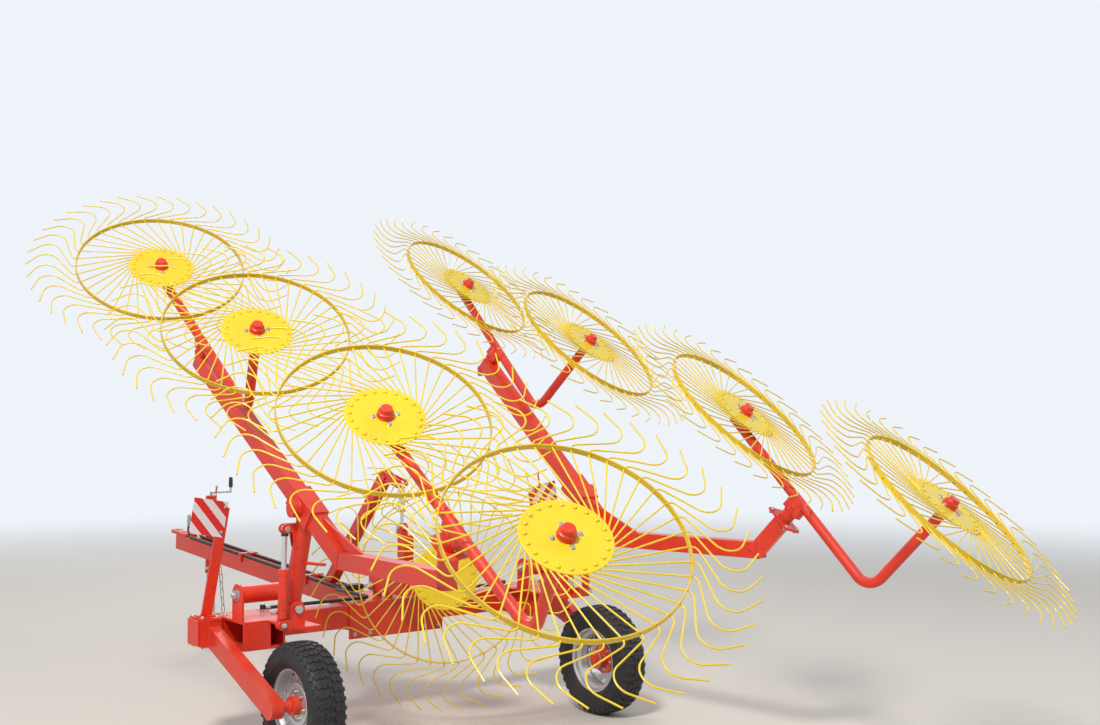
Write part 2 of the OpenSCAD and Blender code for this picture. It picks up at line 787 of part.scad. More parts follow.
// Two hoses on the drawbar from its front end to a junction block, and one from there to each wing
module hydraulic_hoses() {
    $fn = 32;
    top = drawbar_size / 2;
    hose_x = gallows_size / 2 + hose_d / 2 + 0.3;
    block_y = clamp_front + 70;
    port_z = plate_top + hose_d / 2 + 4;
    port_y = bar_point(0, block_y + 25, top).y;
    end_x = -hinge.x - 70;
    color(black) {
        on_drawbar()
            translate([-hose_x - 14, block_y, top])
                cube([2 * hose_x + 28, 50, 42]);
        for (side = [-1, 1]) {
            pipe([bar_point(side * hose_x, block_y + 40, top + hose_d / 2),
                bar_point(side * hose_x, bar_len - 190, top + hose_d / 2),
                bar_point(side * hose_x, bar_len - 190, top + 120)], hose_d, hose_bend_r);
            pipe([[side * (hose_x + 10), port_y, port_z], [side * (hose_x + 90), port_y, port_z],
                [side * (hose_x + 90), beam_y, port_z], [side * end_x, beam_y, port_z]], hose_d, hose_bend_r);
            translate([side * end_x, beam_y, plate_top])
                cylinder(d = hose_d + 10, h = hose_d + 10);
        }
    }
}

module trailing_arm() {
    axle = [-arm_x, 0, axle_z];
    head = [-arm_x, beam_rear, beam_z - beam_size / 6];
    plate_x = -arm_x - arm_inset + 10;
    difference() {
        union() {
            box_span(head, axle, arm_w, arm_h, 20, 0);
            translate([plate_x, beam_rear - clamp_t, beam_bottom - clamp_t])
                cube([arm_plate_w, clamp_t, beam_size + 2 * clamp_t]);
            for (z = [beam_top, beam_bottom - clamp_t])
                translate([plate_x, beam_rear - clamp_t, z])
                    cube([arm_plate_w, beam_size + 2.5 * clamp_t, clamp_t]);
            translate(axle)
                x_cylinder(arm_h, arm_w + 4);
            translate([-arm_x, 0, axle_z])
                rotate([0, 90, 0])
                    cylinder(d = axle_d, h = arm_x - wheel_x + 60);
            translate([-arm_x, 0, axle_z])
                rotate([0, 90, 0])
                    cylinder(d = axle_d + 15, h = arm_x - wheel_x - 65.3);
            translate([-wheel_x + 45.3, 0, axle_z])
                rotate([0, 90, 0])
                    cylinder(d = axle_d + 15, h = 12);
        }
        translate([-arm_x - 200, beam_rear, beam_bottom])
            cube([400, beam_size, beam_size]);
    }
}

// Frame of a ground wheel: origin at its middle, Z outward
module on_ground_wheel() {
    translate([-wheel_x, 0, axle_z])
        rotate([0, -90, 0])
            children();
}

module tyre() {
    on_ground_wheel()
        rotate_extrude($fn = 96)
            difference() {
                intersection() {
                    translate([tyre_d / 2 - tyre_section_r + 22, 0])
                        circle(r = tyre_section_r);
                    translate([rim_d / 2, -tyre_section_r])
                        square([(tyre_d - rim_d) / 2, 2 * tyre_section_r]);
                }
                intersection() {
                    translate([tyre_d / 2 - tyre_section_r + 22, 0])
                        circle(r = tyre_section_r - tyre_wall);
                    translate([rim_d / 2 - 1, -tyre_section_r])
                        square([(tyre_d - rim_d) / 2 - tyre_wall - 4, 2 * tyre_section_r]);
                }
            }
}

module rim() {
    on_ground_wheel()
        difference() {
            union() {
                rotate_extrude($fn = 96) {
                    translate([rim_d / 2 - rim_wall, -rim_half_w])
                        square([rim_wall, 2 * rim_half_w]);
                    translate([hub_d / 2, 20])
                        square([rim_d / 2 - rim_wall / 2 - hub_d / 2, 6]);
                }
            }
            for (i = [0 : rim_holes - 1])
                rotate([0, 0, i * 360 / rim_holes])
                    translate([rim_d / 2 - 48, 0, 0])
                        cylinder(d = 30, h = 60, $fn = 32);
        }
}

module hub() {
    on_ground_wheel()
        difference() {
            union() {
                translate([0, 0, -45])
                    cylinder(d = hub_d, h = 110);
                translate([0, 0, 10])
                    cylinder(d = hub_d + 70, h = 10);
            }
            translate([0, 0, -50])
                cylinder(d = axle_d + bore_gap, h = 120);
        }
}

module board_post() {
    difference() {
        union() {
            on_board_post()
                translate([-board_post_w / 2, -6, -20])
                    cube([board_post_w, 12, board_post_len + 20]);
            translate([-arm_x - 60, beam_y - 30, plate_top])
                cube([90, 60, 8]);
        }
        translate([-arm_x - 200, beam_y - 100, plate_top - 100])
            cube([400, 200, 100]);
    }
}

module warning_board() {
    on_board_post()
        translate([15 - board_w, -9, board_post_len + 28 - board_h])
            cube([board_w, 3, board_h]);
}

module jack_sleeve() {
    color(red)
        difference() {
            union() {
                translate([jack_x, jack_y, jack_sleeve_z])
                    cylinder(d = jack_sleeve_d, h = jack_top_z - jack_sleeve_z);
                translate([drawbar_size / 2, jack_y - 50, bar_z(jack_y) - drawbar_size / 2 + 15])
                    cube([jack_sleeve_d / 2, 100, drawbar_size - 30]);
            }
            translate([jack_x, jack_y, jack_sleeve_z - 1])
                cylinder(d = jack_leg_d + bore_gap, h = jack_top_z - jack_sleeve_z - 9);
        }
}

module jack_leg() {
    color(silver)
        translate([jack_x, jack_y, 0]) {
            cylinder(d = jack_leg_d, h = jack_sleeve_z + jack_overlap);
            cylinder(d = jack_foot_d, h = 12);
        }
}

module kicker_gallows() {
    along = gallows_foot_y - bar_rear.y;
    foot = bar_point(0, along, drawbar_size / 2);
    head = [0, strut_high.y + 150, strut_high.z + 50];
    color(red) {
        difference() {
            box_span(foot, head, gallows_size, gallows_size, 40, 0);
            on_drawbar()
                translate([-100, along - 300, drawbar_size / 2 - 200])
                    cube([200, 600, 200]);
        }
        on_drawbar()
            translate([5 - gallows_size / 2, along - 110, drawbar_size / 2])
                cube([gallows_size - 10, 180, 12]);
        for (side = [-1, 1])
            translate([side * 17, 0, 0]) {
                box_span(head + [0, 20, -10], strut_high, 10, 50);
                translate(strut_high)
                    x_cylinder(50, 10);
            }
        translate(strut_high)
            x_cylinder(16, 60);
    }
}

module kicker_arm() {
    back = [-cos(kicker_heading), -sin(kicker_heading), 0];
    arm_rear_y = kicker_pivot_y - kicker_arm_len;
    arm_half_w = drawbar_size / 2 + 12;
    arm_low_z = kicker_pivot_z - 25;
    post_low_z = arm_low_z + kicker_arm_h - 5;
    color(red) {
        for (side = [-1, 1])
            translate([side * arm_half_w - clamp_t / 2, arm_rear_y, arm_low_z])
                cube([clamp_t, kicker_arm_len + 40, kicker_arm_h]);
        translate([0, kicker_pivot_y, kicker_pivot_z])
            x_cylinder(spindle_d, 2 * arm_half_w + 3 * clamp_t);
        translate([-arm_half_w, arm_rear_y, arm_low_z])
            cube([2 * arm_half_w, kicker_block_len, kicker_arm_h]);
        translate([-gallows_size / 2, strut_low.y - gallows_size - 10, post_low_z])
            cube([gallows_size, gallows_size + 10, strut_low.z - 40 - post_low_z]);
        for (side = [-1, 1])
            translate([side * 17, 0, 0]) {
                translate([-5, strut_low.y - 25, strut_low.z - 50])
                    cube([10, 50, 50]);
                translate(strut_low)
                    x_cylinder(50, 10);
            }
        translate(kicker_centre)
            rotate([0, 90, kicker_heading]) {
                rake_spindle();
                translate([0, 0, -kicker_stalk - 20])
                    cylinder(d = rocker_d, h = kicker_stalk + 20 - rake_hub_back - 5);
            }
        box_span(kicker_centre + kicker_stalk * back, [20, arm_rear_y + 50, arm_low_z + kicker_arm_h / 2],
            gallows_size, gallows_size, 20, 0);
    }
}

module kicker_wheel() {
    color(yellow)
        translate(kicker_centre)
            rotate([0, 90, kicker_heading])
                rake_wheel();
}

// Frame of the kicker strut: origin at its upper pin, Z down along it
module on_strut() {
    translate(strut_high)
        rotate([180 - strut_lean, 0, 0])
            children();
}

module kicker_strut_tube() {
    color(silver)
        on_strut()
            difference() {
                union() {
                    x_cylinder(40, 20);
                    translate([-10, -12, 0])
                        cube([20, 24, 36]);
                    translate([0, 0, 32])
                        cylinder(d = 40, h = 118);
                }
                x_cylinder(16 + bore_gap, 40);
                translate([0, 0, 40])
                    cylinder(d = 20 + bore_gap, h = 200);
            }
}

module kicker_strut_rod() {
    color(silver)
        on_strut()
            difference() {
                union() {
                    translate([0, 0, 70])
                        cylinder(d = 20, h = strut_len - 80);
                    translate([0, 0, strut_len])
                        x_cylinder(36, 20);
                }
                translate([0, 0, strut_len])
                    x_cylinder(16, 40);
            }
}

module left_trailing_arm() {
    color(red)
        trailing_arm();
}

module right_trailing_arm() {
    color(red)
        mirrored()
            trailing_arm();
}

module left_tyre() {
    color(black)
        tyre();
}

module right_tyre() {
    color(black)
        mirrored()
            tyre();
}

module left_rim() {
    color(silver)
        rim();
}

module right_rim() {
    color(silver)
        mirrored()
            rim();
}

module left_hub() {
    color(red)
        hub();
}

module right_hub() {
    color(red)
        mirrored()
            hub();
}

module left_wing_bracket() {
    color(red)
        wing_bracket();
}

module right_wing_bracket() {
    color(red)
        mirrored()
            wing_bracket();
}

module left_board_post() {
    color(red)
        board_post();
}

module right_board_post() {
    color(red)
        mirrored()
            board_post();
}

module left_warning_board() {
    color(white)
        warning_board();
}

module right_warning_board() {
    color(white)
        mirrored()
            warning_board();
}

module left_wing_post() {
    color(red)
        wing_post();
}

module right_wing_post() {
    color(red)
        mirrored()
            wing_post();
}

module left_boom() {
    color(red)
        boom();
}

module right_boom() {
    color(red)
        mirrored()
            boom();
}

module left_front_rocker() {
    color(red)
        rocker(0);
}

module right_front_rocker() {
    color(red)
        mirrored()
            rocker(0);
}

module left_rear_rocker() {
    color(red)
        rocker(2);
}

module right_rear_rocker() {
    color(red)
        mirrored()
            rocker(2);
}

module left_rake_wheel(i) {
    color(yellow)
        wing_wheel(i - 1);
}

module right_rake_wheel(i) {
    color(yellow)
        mirrored()
            wing_wheel(i - 1);
}

module left_lift_barrel() {
    color(red)
        lift_barrel();
}

module right_lift_barrel() {
    color(red)
        mirrored()
            lift_barrel();
}

module left_lift_rod() {
    color(silver)
        lift_rod();
}

module right_lift_rod() {
    color(silver)
        mirrored()
            lift_rod();
}

cross_beam();
drawbar();
tow_tongue();
hydraulic_hoses();
left_trailing_arm();
right_trailing_arm();
left_tyre();
right_tyre();
left_rim();
right_rim();
left_hub();
right_hub();
left_wing_bracket();
right_wing_bracket();
left_board_post();
right_board_post();
left_warning_board();
right_warning_board();
jack_sleeve();
jack_leg();
kicker_gallows();
kicker_arm();
kicker_wheel();
kicker_strut_tube();
kicker_strut_rod();
left_wing_post();
right_wing_post();
left_boom();
right_boom();
left_front_rocker();
right_front_rocker();
left_rear_rocker();
right_rear_rocker();
left_rake_wheel(1);  // left_rake_wheel_1
left_rake_wheel(2);  // left_rake_wheel_2
left_rake_wheel(3);  // left_rake_wheel_3
left_rake_wheel(4);  // left_rake_wheel_4
right_rake_wheel(1);  // right_rake_wheel_1
right_rake_wheel(2);  // right_rake_wheel_2
right_rake_wheel(3);  // right_rake_wheel_3
right_rake_wheel(4);  // right_rake_wheel_4
left_lift_barrel();
right_lift_barrel();
left_lift_rod();
right_lift_rod();
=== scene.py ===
# Finger-wheel hay rake folded for the road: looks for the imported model
import json
import math
from itertools import product

import bmesh
import bpy
from mathutils import Matrix, Vector


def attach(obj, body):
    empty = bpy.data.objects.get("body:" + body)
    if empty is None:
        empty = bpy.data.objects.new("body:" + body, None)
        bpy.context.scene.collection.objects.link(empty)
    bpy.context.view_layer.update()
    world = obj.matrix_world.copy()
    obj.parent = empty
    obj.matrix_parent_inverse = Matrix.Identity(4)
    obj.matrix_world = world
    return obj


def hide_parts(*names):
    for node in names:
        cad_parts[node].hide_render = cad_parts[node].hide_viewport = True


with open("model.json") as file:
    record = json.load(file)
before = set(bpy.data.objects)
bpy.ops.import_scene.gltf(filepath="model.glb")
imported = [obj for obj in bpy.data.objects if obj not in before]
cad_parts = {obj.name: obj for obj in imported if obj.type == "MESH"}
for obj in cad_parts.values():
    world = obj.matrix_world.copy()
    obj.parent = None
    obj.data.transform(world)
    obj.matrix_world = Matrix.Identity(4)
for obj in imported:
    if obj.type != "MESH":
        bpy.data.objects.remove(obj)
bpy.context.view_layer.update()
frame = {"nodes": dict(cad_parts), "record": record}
nodes = frame["nodes"]
print("frame loaded:", len(nodes), "nodes")


def addObject(name, data):
    item = bpy.data.objects.new(name, data)
    bpy.context.scene.collection.objects.link(item)
    return item


view = {"place": (-4.085, -5.9, 1.75), "headingDeg": 38.25, "pitchDeg": 1.506, "lens": 45.14, "sensor": 36.0,
        "clipEnd": 120.0}
cameraData = bpy.data.cameras.new("camera")
cameraData.lens = view["lens"]
cameraData.sensor_width = view["sensor"]
cameraData.clip_end = view["clipEnd"]
camera = addObject("camera", cameraData)
camera.location = view["place"]
camera.rotation_euler = (math.radians(90 + view["pitchDeg"]), 0, math.radians(-view["headingDeg"]))
bpy.context.scene.camera = camera
bpy.context.scene.view_settings.view_transform = "Standard"

studio = {"backdrop": (0.86, 0.9, 0.95), "skyFill": (0.84, 0.9, 1.0), "skyStrength": 0.42,
          "floor": (0.7, 0.66, 0.6), "floorSize": 60, "fadeFrom": 6.5, "fadeTo": 15.0,
          "lampsAimAt": (0, 0.3, 1.0),
          "lamps": {"keyLamp": ((-6.0, -4.5, 9.0), 2.0, 930, (1.0, 0.97, 0.92)),
                    "fillLamp": ((7.5, -5.0, 5.0), 5.0, 160, (0.95, 0.97, 1.0)),
                    "backLamp": ((3.0, 8.5, 7.5), 4.0, 300, (1.0, 1.0, 1.0))}}


def addLamps():
    for name, (spot, size, power, color) in studio["lamps"].items():
        data = bpy.data.lights.new(name, "AREA")
        data.shape = "DISK"
        data.size = size
        data.energy = power
        data.color = color
        lamp = addObject(name, data)
        lamp.location = spot
        lamp.rotation_euler = (Vector(studio["lampsAimAt"]) - Vector(spot)).to_track_quat("-Z", "Y").to_euler()


def setInputs(node, **values):
    for key, value in values.items():
        node.inputs[key.replace("_", " ")].default_value = value
    return node


def addNode(tree, kind, **values):
    # a value that the node has no property for goes to its input of that name
    node = tree.nodes.new("ShaderNode" + kind)
    for key, value in values.items():
        if hasattr(node, key):
            setattr(node, key, value)
        else:
            setInputs(node, **{key: value})
    return node


def linkRows(tree, *rows):
    for source, outName, target, inName in rows:
        tree.links.new(source.outputs[outName], target.inputs[inName])


def seenDirectly(tree):
    # 1 where the camera looks, also in a mirror or through glass
    path = addNode(tree, "LightPath")
    first = addNode(tree, "Math", operation="MAXIMUM")
    second = addNode(tree, "Math", operation="MAXIMUM")
    linkRows(tree, (path, "Is Camera Ray", first, 0), (path, "Is Glossy Ray", first, 1), (first, 0, second, 0),
             (path, "Is Transmission Ray", second, 1))
    return second.outputs[0]


def makeWorld():
    world = bpy.data.worlds.new("studio")
    bpy.context.scene.world = world
    world.use_nodes = True
    tree = world.node_tree
    tree.nodes.clear()
    out = addNode(tree, "OutputWorld")
    mix = addNode(tree, "MixShader")
    lit = addNode(tree, "Background", Color=(*studio["skyFill"], 1), Strength=studio["skyStrength"])
    seen = addNode(tree, "Background", Color=(*studio["backdrop"], 1))
    tree.links.new(seenDirectly(tree), mix.inputs[0])
    linkRows(tree, (lit, 0, mix, 1), (seen, 0, mix, 2), (mix, 0, out, "Surface"))


addLamps()
makeWorld()
print("camera and light set")


def newGroup(name, inputs, outputs):
    group = bpy.data.node_groups.new(name, "ShaderNodeTree")
    for way, sockets in (("INPUT", inputs), ("OUTPUT", outputs)):
        for label, kind in sockets:
            group.interface.new_socket(label, in_out=way, socket_type=kind)
    return group, group.nodes.new("NodeGroupInput"), group.nodes.new("NodeGroupOutput")


floatSocket, colorSocket, vectorSocket = "NodeSocketFloat", "NodeSocketColor", "NodeSocketVector"


def coverColor(group, gin, gout, mask, overName):
    # the mask times Amount lays one colour over the other
    scaled = addNode(group, "Math", operation="MULTIPLY", use_clamp=True)
    mix = addNode(group, "Mix", data_type="RGBA")
    linkRows(group, (mask, 0, scaled, 0), (gin, "Amount", scaled, 1), (scaled, 0, mix, 0),
             (gin, "Color", mix, 6), (gin, overName, mix, 7), (mix, 2, gout, "Color"),
             (scaled, 0, gout, "Mask"))


def makeDustGroup():
    # pale dust on faces that look up, thicker near the ground, with splashes
    group, gin, gout = newGroup(
        "dustFilm",
        [("Color", colorSocket), ("Dust Color", colorSocket), ("Amount", floatSocket), ("Reach", floatSocket)],
        [("Color", colorSocket), ("Mask", floatSocket)])
    coords = addNode(group, "TexCoord")
    geometry = addNode(group, "NewGeometry")
    splitNormal = addNode(group, "SeparateXYZ")
    splitPlace = addNode(group, "SeparateXYZ")
    patches = addNode(group, "TexNoise", Scale=9.0, Detail=5.0, Roughness=0.62)
    upward = addNode(group, "MapRange", From_Min=0.2, From_Max=1.0, To_Min=0.05, To_Max=0.45)
    low = addNode(group, "MapRange", From_Max=0.0, To_Max=0.8)
    cloud = addNode(group, "MapRange", From_Min=0.38, From_Max=0.68, To_Min=0.1)
    add = addNode(group, "Math", operation="ADD")
    times = addNode(group, "Math", operation="MULTIPLY")
    linkRows(group, (geometry, "Normal", splitNormal, 0), (coords, "Object", splitPlace, 0),
             (coords, "Object", patches, "Vector"), (splitNormal, "Z", upward, "Value"),
             (splitPlace, "Z", low, "Value"), (gin, "Reach", low, "From Min"), (patches, "Fac", cloud, "Value"),
             (upward, 0, add, 0), (low, 0, add, 1), (add, 0, times, 0), (cloud, 0, times, 1))
    coverColor(group, gin, gout, times, "Dust Color")
    return group


def makeWearGroup():
    # rubbed edges: where the rounded normal leaves the true one, broken up by noise
    group, gin, gout = newGroup(
        "edgeWear",
        [("Color", colorSocket), ("Bare Color", colorSocket), ("Width", floatSocket), ("Amount", floatSocket),
         ("Scale", floatSocket)],
        [("Color", colorSocket), ("Mask", floatSocket), ("Normal", vectorSocket)])
    coords = addNode(group, "TexCoord")
    geometry = addNode(group, "NewGeometry")
    rounded = addNode(group, "Bevel", samples=4)
    dot = addNode(group, "VectorMath", operation="DOT_PRODUCT")
    edge = addNode(group, "MapRange", From_Min=0.985, From_Max=0.8)
    noise = addNode(group, "TexNoise", Detail=6.0, Roughness=0.7)
    chips = addNode(group, "MapRange", From_Min=0.5, From_Max=0.6)
    both = addNode(group, "Math", operation="MULTIPLY")
    linkRows(group, (gin, "Width", rounded, "Radius"), (rounded, "Normal", dot, 0),
             (geometry, "True Normal", dot, 1), (dot, "Value", edge, "Value"),
             (coords, "Object", noise, "Vector"), (gin, "Scale", noise, "Scale"),
             (noise, "Fac", chips, "Value"), (edge, 0, both, 0), (chips, 0, both, 1))
    coverColor(group, gin, gout, both, "Bare Color")
    linkRows(group, (rounded, "Normal", gout, "Normal"))
    return group


def makeGrainGroup():
    # small unevenness of a sprayed, cast or moulded skin, and the cloudy tone that goes with it
    group, gin, gout = newGroup(
        "skinGrain",
        [("Color", colorSocket), ("Tone", floatSocket), ("Scale", floatSocket), ("Low Roughness", floatSocket),
         ("High Roughness", floatSocket)],
        [("Color", colorSocket), ("Roughness", floatSocket), ("Height", floatSocket)])
    coords = addNode(group, "TexCoord")
    fine = addNode(group, "TexNoise", Detail=4.0, Roughness=0.55)
    broad = addNode(group, "TexNoise", Scale=5.5, Detail=4.0, Roughness=0.6)
    tone = addNode(group, "MapRange", From_Min=0.3, From_Max=0.7, To_Min=-0.5, To_Max=0.5)
    toneScaled = addNode(group, "Math", operation="MULTIPLY_ADD")
    toneScaled.inputs[2].default_value = 1.0
    shade = addNode(group, "VectorMath", operation="SCALE")
    rough = addNode(group, "MapRange", From_Min=0.3, From_Max=0.7)
    linkRows(group, (coords, "Object", fine, "Vector"), (coords, "Object", broad, "Vector"),
             (gin, "Scale", fine, "Scale"), (broad, "Fac", tone, "Value"), (tone, 0, toneScaled, 0),
             (gin, "Tone", toneScaled, 1), (gin, "Color", shade, 0), (toneScaled, 0, shade, "Scale"),
             (broad, "Fac", rough, "Value"), (gin, "Low Roughness", rough, "To Min"),
             (gin, "High Roughness", rough, "To Max"), (shade, "Vector", gout, "Color"),
             (rough, 0, gout, "Roughness"), (fine, "Fac", gout, "Height"))
    return group


dustFilm, edgeWear, skinGrain = makeDustGroup(), makeWearGroup(), makeGrainGroup()


def placeGroup(tree, group, **values):
    return setInputs(addNode(tree, "Group", node_tree=group), **values)


def newMaterial(name, **values):
    material = bpy.data.materials.new(name)
    material.use_nodes = True
    shader = material.node_tree.nodes["Principled BSDF"]
    return material, material.node_tree, setInputs(shader, **values)


plainLook = {"metallic": 0.0, "coat": 0.0, "coatRoughness": 0.12, "tone": 0.12, "grainScale": 120.0,
             "bare": (0.35, 0.33, 0.32), "edge": 0.003, "wear": 0.5, "wearScale": 30.0,
             "dustColor": (0.45, 0.36, 0.24), "dust": 0.3, "dustReach": 0.7, "bump": 0.05, "bumpDepth": 0.0005}


def makeFinish(name, look, colorFrom=None):
    # grain, rubbed edges and dust over one colour or a painted pattern
    look = {**plainLook, **look}
    material, tree, shader = newMaterial(name, Metallic=look["metallic"], Coat_Weight=look["coat"],
                                         Coat_Roughness=look["coatRoughness"])
    material.diffuse_color = (*look["color"], 1)
    grain = placeGroup(tree, skinGrain, Tone=look["tone"], Scale=look["grainScale"],
                       Low_Roughness=look["roughness"][0], High_Roughness=look["roughness"][1])
    wear = placeGroup(tree, edgeWear, Bare_Color=(*look["bare"], 1), Width=look["edge"], Amount=look["wear"],
                      Scale=look["wearScale"])
    dust = placeGroup(tree, dustFilm, Dust_Color=(*look["dustColor"], 1), Amount=look["dust"],
                      Reach=look["dustReach"])
    bump = addNode(tree, "Bump", Strength=look["bump"], Distance=look["bumpDepth"])
    if colorFrom is None:
        grain.inputs["Color"].default_value = (*look["color"], 1)
    else:
        tree.links.new(colorFrom(tree), grain.inputs["Color"])
    linkRows(tree, (grain, "Color", wear, "Color"), (wear, "Color", dust, "Color"),
             (dust, "Color", shader, "Base Color"), (grain, "Roughness", shader, "Roughness"),
             (grain, "Height", bump, "Height"), (wear, "Normal", bump, "Normal"),
             (bump, "Normal", shader, "Normal"))
    return material


board = {"lean": 10, "footX": 1.095, "footZ": 0.642, "y": 0.72, "slope": 0.9, "band": 0.103, "shift": 0.032,
         "softEdge": 0.0006,
         "red": (0.66, 0.022, 0.015), "white": (0.74, 0.7, 0.73)}


def boardStripes(side):
    # red and white bands that fall to the right, in the leaning frame of the board
    def paint(tree):
        lean = math.radians(board["lean"] * side)
        coords = addNode(tree, "TexCoord")
        turn = addNode(tree, "Mapping", vector_type="POINT")
        turn.inputs["Rotation"].default_value = (0, -lean, 0)
        split = addNode(tree, "SeparateXYZ")
        slant = addNode(tree, "Math", operation="MULTIPLY_ADD")
        slant.inputs[1].default_value = board["slope"] * side
        start = addNode(tree, "Math", operation="ADD")
        start.inputs[1].default_value = board["shift"]
        wave = addNode(tree, "Math", operation="PINGPONG")
        wave.inputs[1].default_value = board["band"] / 2
        cut = addNode(tree, "MapRange", From_Min=board["band"] / 4 - board["softEdge"],
                      From_Max=board["band"] / 4 + board["softEdge"])
        mix = addNode(tree, "Mix", data_type="RGBA")
        mix.inputs[6].default_value = (*board["white"], 1)
        mix.inputs[7].default_value = (*board["red"], 1)
        linkRows(tree, (coords, "Object", turn, "Vector"), (turn, 0, split, 0), (split, "X", slant, 0),
                 (split, "Z", slant, 2), (slant, 0, start, 0), (start, 0, wave, 0), (wave, 0, cut, "Value"),
                 (cut, 0, mix, 0))
        return mix.outputs[2]
    return paint


looks = {
    "red_paint": {"color": (0.72, 0.032, 0.008), "roughness": (0.34, 0.5), "coat": 0.12, "tone": 0.24,
                  "dust": 0.22, "wear": 0.4, "edge": 0.0025, "bare": (0.3, 0.1, 0.07), "bump": 0.14},
    "yellow_paint": {"color": (0.84, 0.61, 0.01), "roughness": (0.32, 0.48), "coat": 0.15, "tone": 0.16,
                     "dust": 0.08, "wear": 0.2, "edge": 0.0012, "bare": (0.45, 0.33, 0.1), "bump": 0.1},
    # darker, dirtier copy of the yellow paint for the band and the rivet washers: partly painted shade
    "painted_shade_yellow": {"color": (0.72, 0.49, 0.008), "roughness": (0.34, 0.52), "coat": 0.1, "tone": 0.22,
                    "dust": 0.1, "wear": 0.3, "edge": 0.0012, "bare": (0.4, 0.29, 0.09), "bump": 0.12},
    "tyre_rubber": {"color": (0.014, 0.014, 0.016), "roughness": (0.5, 0.75), "tone": 0.4, "dust": 0.07,
                    "dustReach": 0.35, "wear": 0.25, "bare": (0.05, 0.05, 0.048), "bump": 0.35, "bumpDepth": 0.001},
    "rim_silver": {"color": (0.56, 0.58, 0.6), "roughness": (0.28, 0.42), "metallic": 0.7, "tone": 0.2,
                   "dust": 0.16, "wear": 0.2, "bump": 0.2, "grainScale": 60.0},
    "bright_steel": {"color": (0.68, 0.69, 0.7), "roughness": (0.1, 0.22), "metallic": 1.0, "dust": 0.1,
                     "wear": 0.0, "bump": 0.03},
    "grey_steel": {"color": (0.5, 0.5, 0.49), "roughness": (0.28, 0.46), "metallic": 0.9, "tone": 0.3,
                   "dust": 0.15, "wear": 0.2, "bump": 0.15},
    "black_rubber": {"color": (0.018, 0.018, 0.02), "roughness": (0.38, 0.55), "tone": 0.3, "dust": 0.2,
                     "wear": 0.1, "bump": 0.3},
    "board_white": {"color": (0.8, 0.8, 0.8), "roughness": (0.3, 0.42), "tone": 0.08, "dust": 0.1, "wear": 0.1,
                    "bump": 0.05}}
finishes = {slot: makeFinish(slot.replace("_", " ").title().replace(" ", ""), look)
            for slot, look in looks.items() if slot != "board_white"}
finishes["left_board"] = makeFinish("leftBoardStripes", looks["board_white"], boardStripes(1))
finishes["right_board"] = makeFinish("rightBoardStripes", looks["board_white"], boardStripes(-1))
slotOfNode = {entry["node"]: entry["material_slot"] for entry in frame["record"]["subparts"]}
for nodeName, cadObject in nodes.items():
    slot = slotOfNode[nodeName]
    if slot == "board_white":
        slot = nodeName.split("_")[0] + "_board"
    cadObject.data.materials.clear()
    cadObject.data.materials.append(finishes[slot])
print("finishes made:", len(finishes))


def turned(degrees, axis):
    return Matrix.Rotation(math.radians(degrees), 4, axis)


def moved(x, y, z):
    return Matrix.Translation((x, y, z))


up = Vector((0, 0, 1))
bothSides = (("left", Matrix()), ("right", Matrix.Scale(-1, 4, (1, 0, 0))))
row = {"frontHub": (-1.036, 1.47, 2.48), "tiltDeg": 42.35, "headingDeg": -109.4, "turnDeg": 19.07,
       "pitch": 1.19, "lead": 0.48, "pinAlong": 0.6, "sleeveDrop": 0.18}


def rowPlace(index):
    base = moved(*row["frontHub"]) @ turned(row["headingDeg"], "Z") @ turned(row["tiltDeg"], "Y")
    return base @ turned(row["turnDeg"], "Z") @ moved(index * row["pitch"], 0, index * row["lead"])


def sleevePlace(index):
    # middle of the sleeve that holds the rocker between wheel index and the next
    return rowPlace(index) @ moved(row["pinAlong"], 0, -row["sleeveDrop"])


def circlePlaces(count, radius, turnDeg=0):
    angles = [math.radians(360 * index / count + turnDeg) for index in range(count)]
    return [Vector((math.cos(angle), math.sin(angle), 0)) * radius for angle in angles]


def wireOutline(radius, wireRadius, count):
    # section of a round wire for a ring of that radius
    return [(radius + spot.x, spot.y) for spot in circlePlaces(count, wireRadius)]


sharpDeg = 32


def finishPiece(name, mesh, place, body, slotNames, replaced=()):
    # puts a modelled bmesh in its place, gives it finishes and lets it ride
    bmesh.ops.transform(mesh, matrix=place, verts=mesh.verts)
    if place.determinant() < 0:
        bmesh.ops.reverse_faces(mesh, faces=mesh.faces)
    for face in mesh.faces:
        face.smooth = True
    for edge in mesh.edges:
        edge.smooth = edge.calc_face_angle(0) < math.radians(sharpDeg)
    data = bpy.data.meshes.new(name)
    mesh.to_mesh(data)
    mesh.free()
    for slotName in slotNames:
        data.materials.append(finishes[slotName])
    piece = addObject(name, data)
    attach(piece, body)
    if replaced:
        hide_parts(*replaced)


def facing(spot, out):
    # frame at a spot with Z along out
    return Matrix.Translation(spot) @ Vector(out).to_track_quat("Z", "Y").to_matrix().to_4x4()


def addDisc(mesh, place, radius, low, high, sides=16, radiusEnd=None, slot=0):
    # closed round or six-sided bar along the Z of place
    made = bmesh.ops.create_cone(mesh, cap_ends=True, segments=sides, radius1=radius,
                                 radius2=radius if radiusEnd is None else radiusEnd, depth=high - low,
                                 matrix=place @ moved(0, 0, (low + high) / 2))
    for vert in made["verts"]:
        for face in vert.link_faces:
            face.material_index = slot


def addDiscs(mesh, place, steps):
    # radius, low, high, sides and the radius at the far end of each
    for step in steps:
        addDisc(mesh, place, *step)


def addRod(mesh, start, end, radius, sides=12, slot=0):
    start, end = Vector(start), Vector(end)
    addDisc(mesh, facing(start, end - start), radius, 0, (end - start).length, sides, slot=slot)


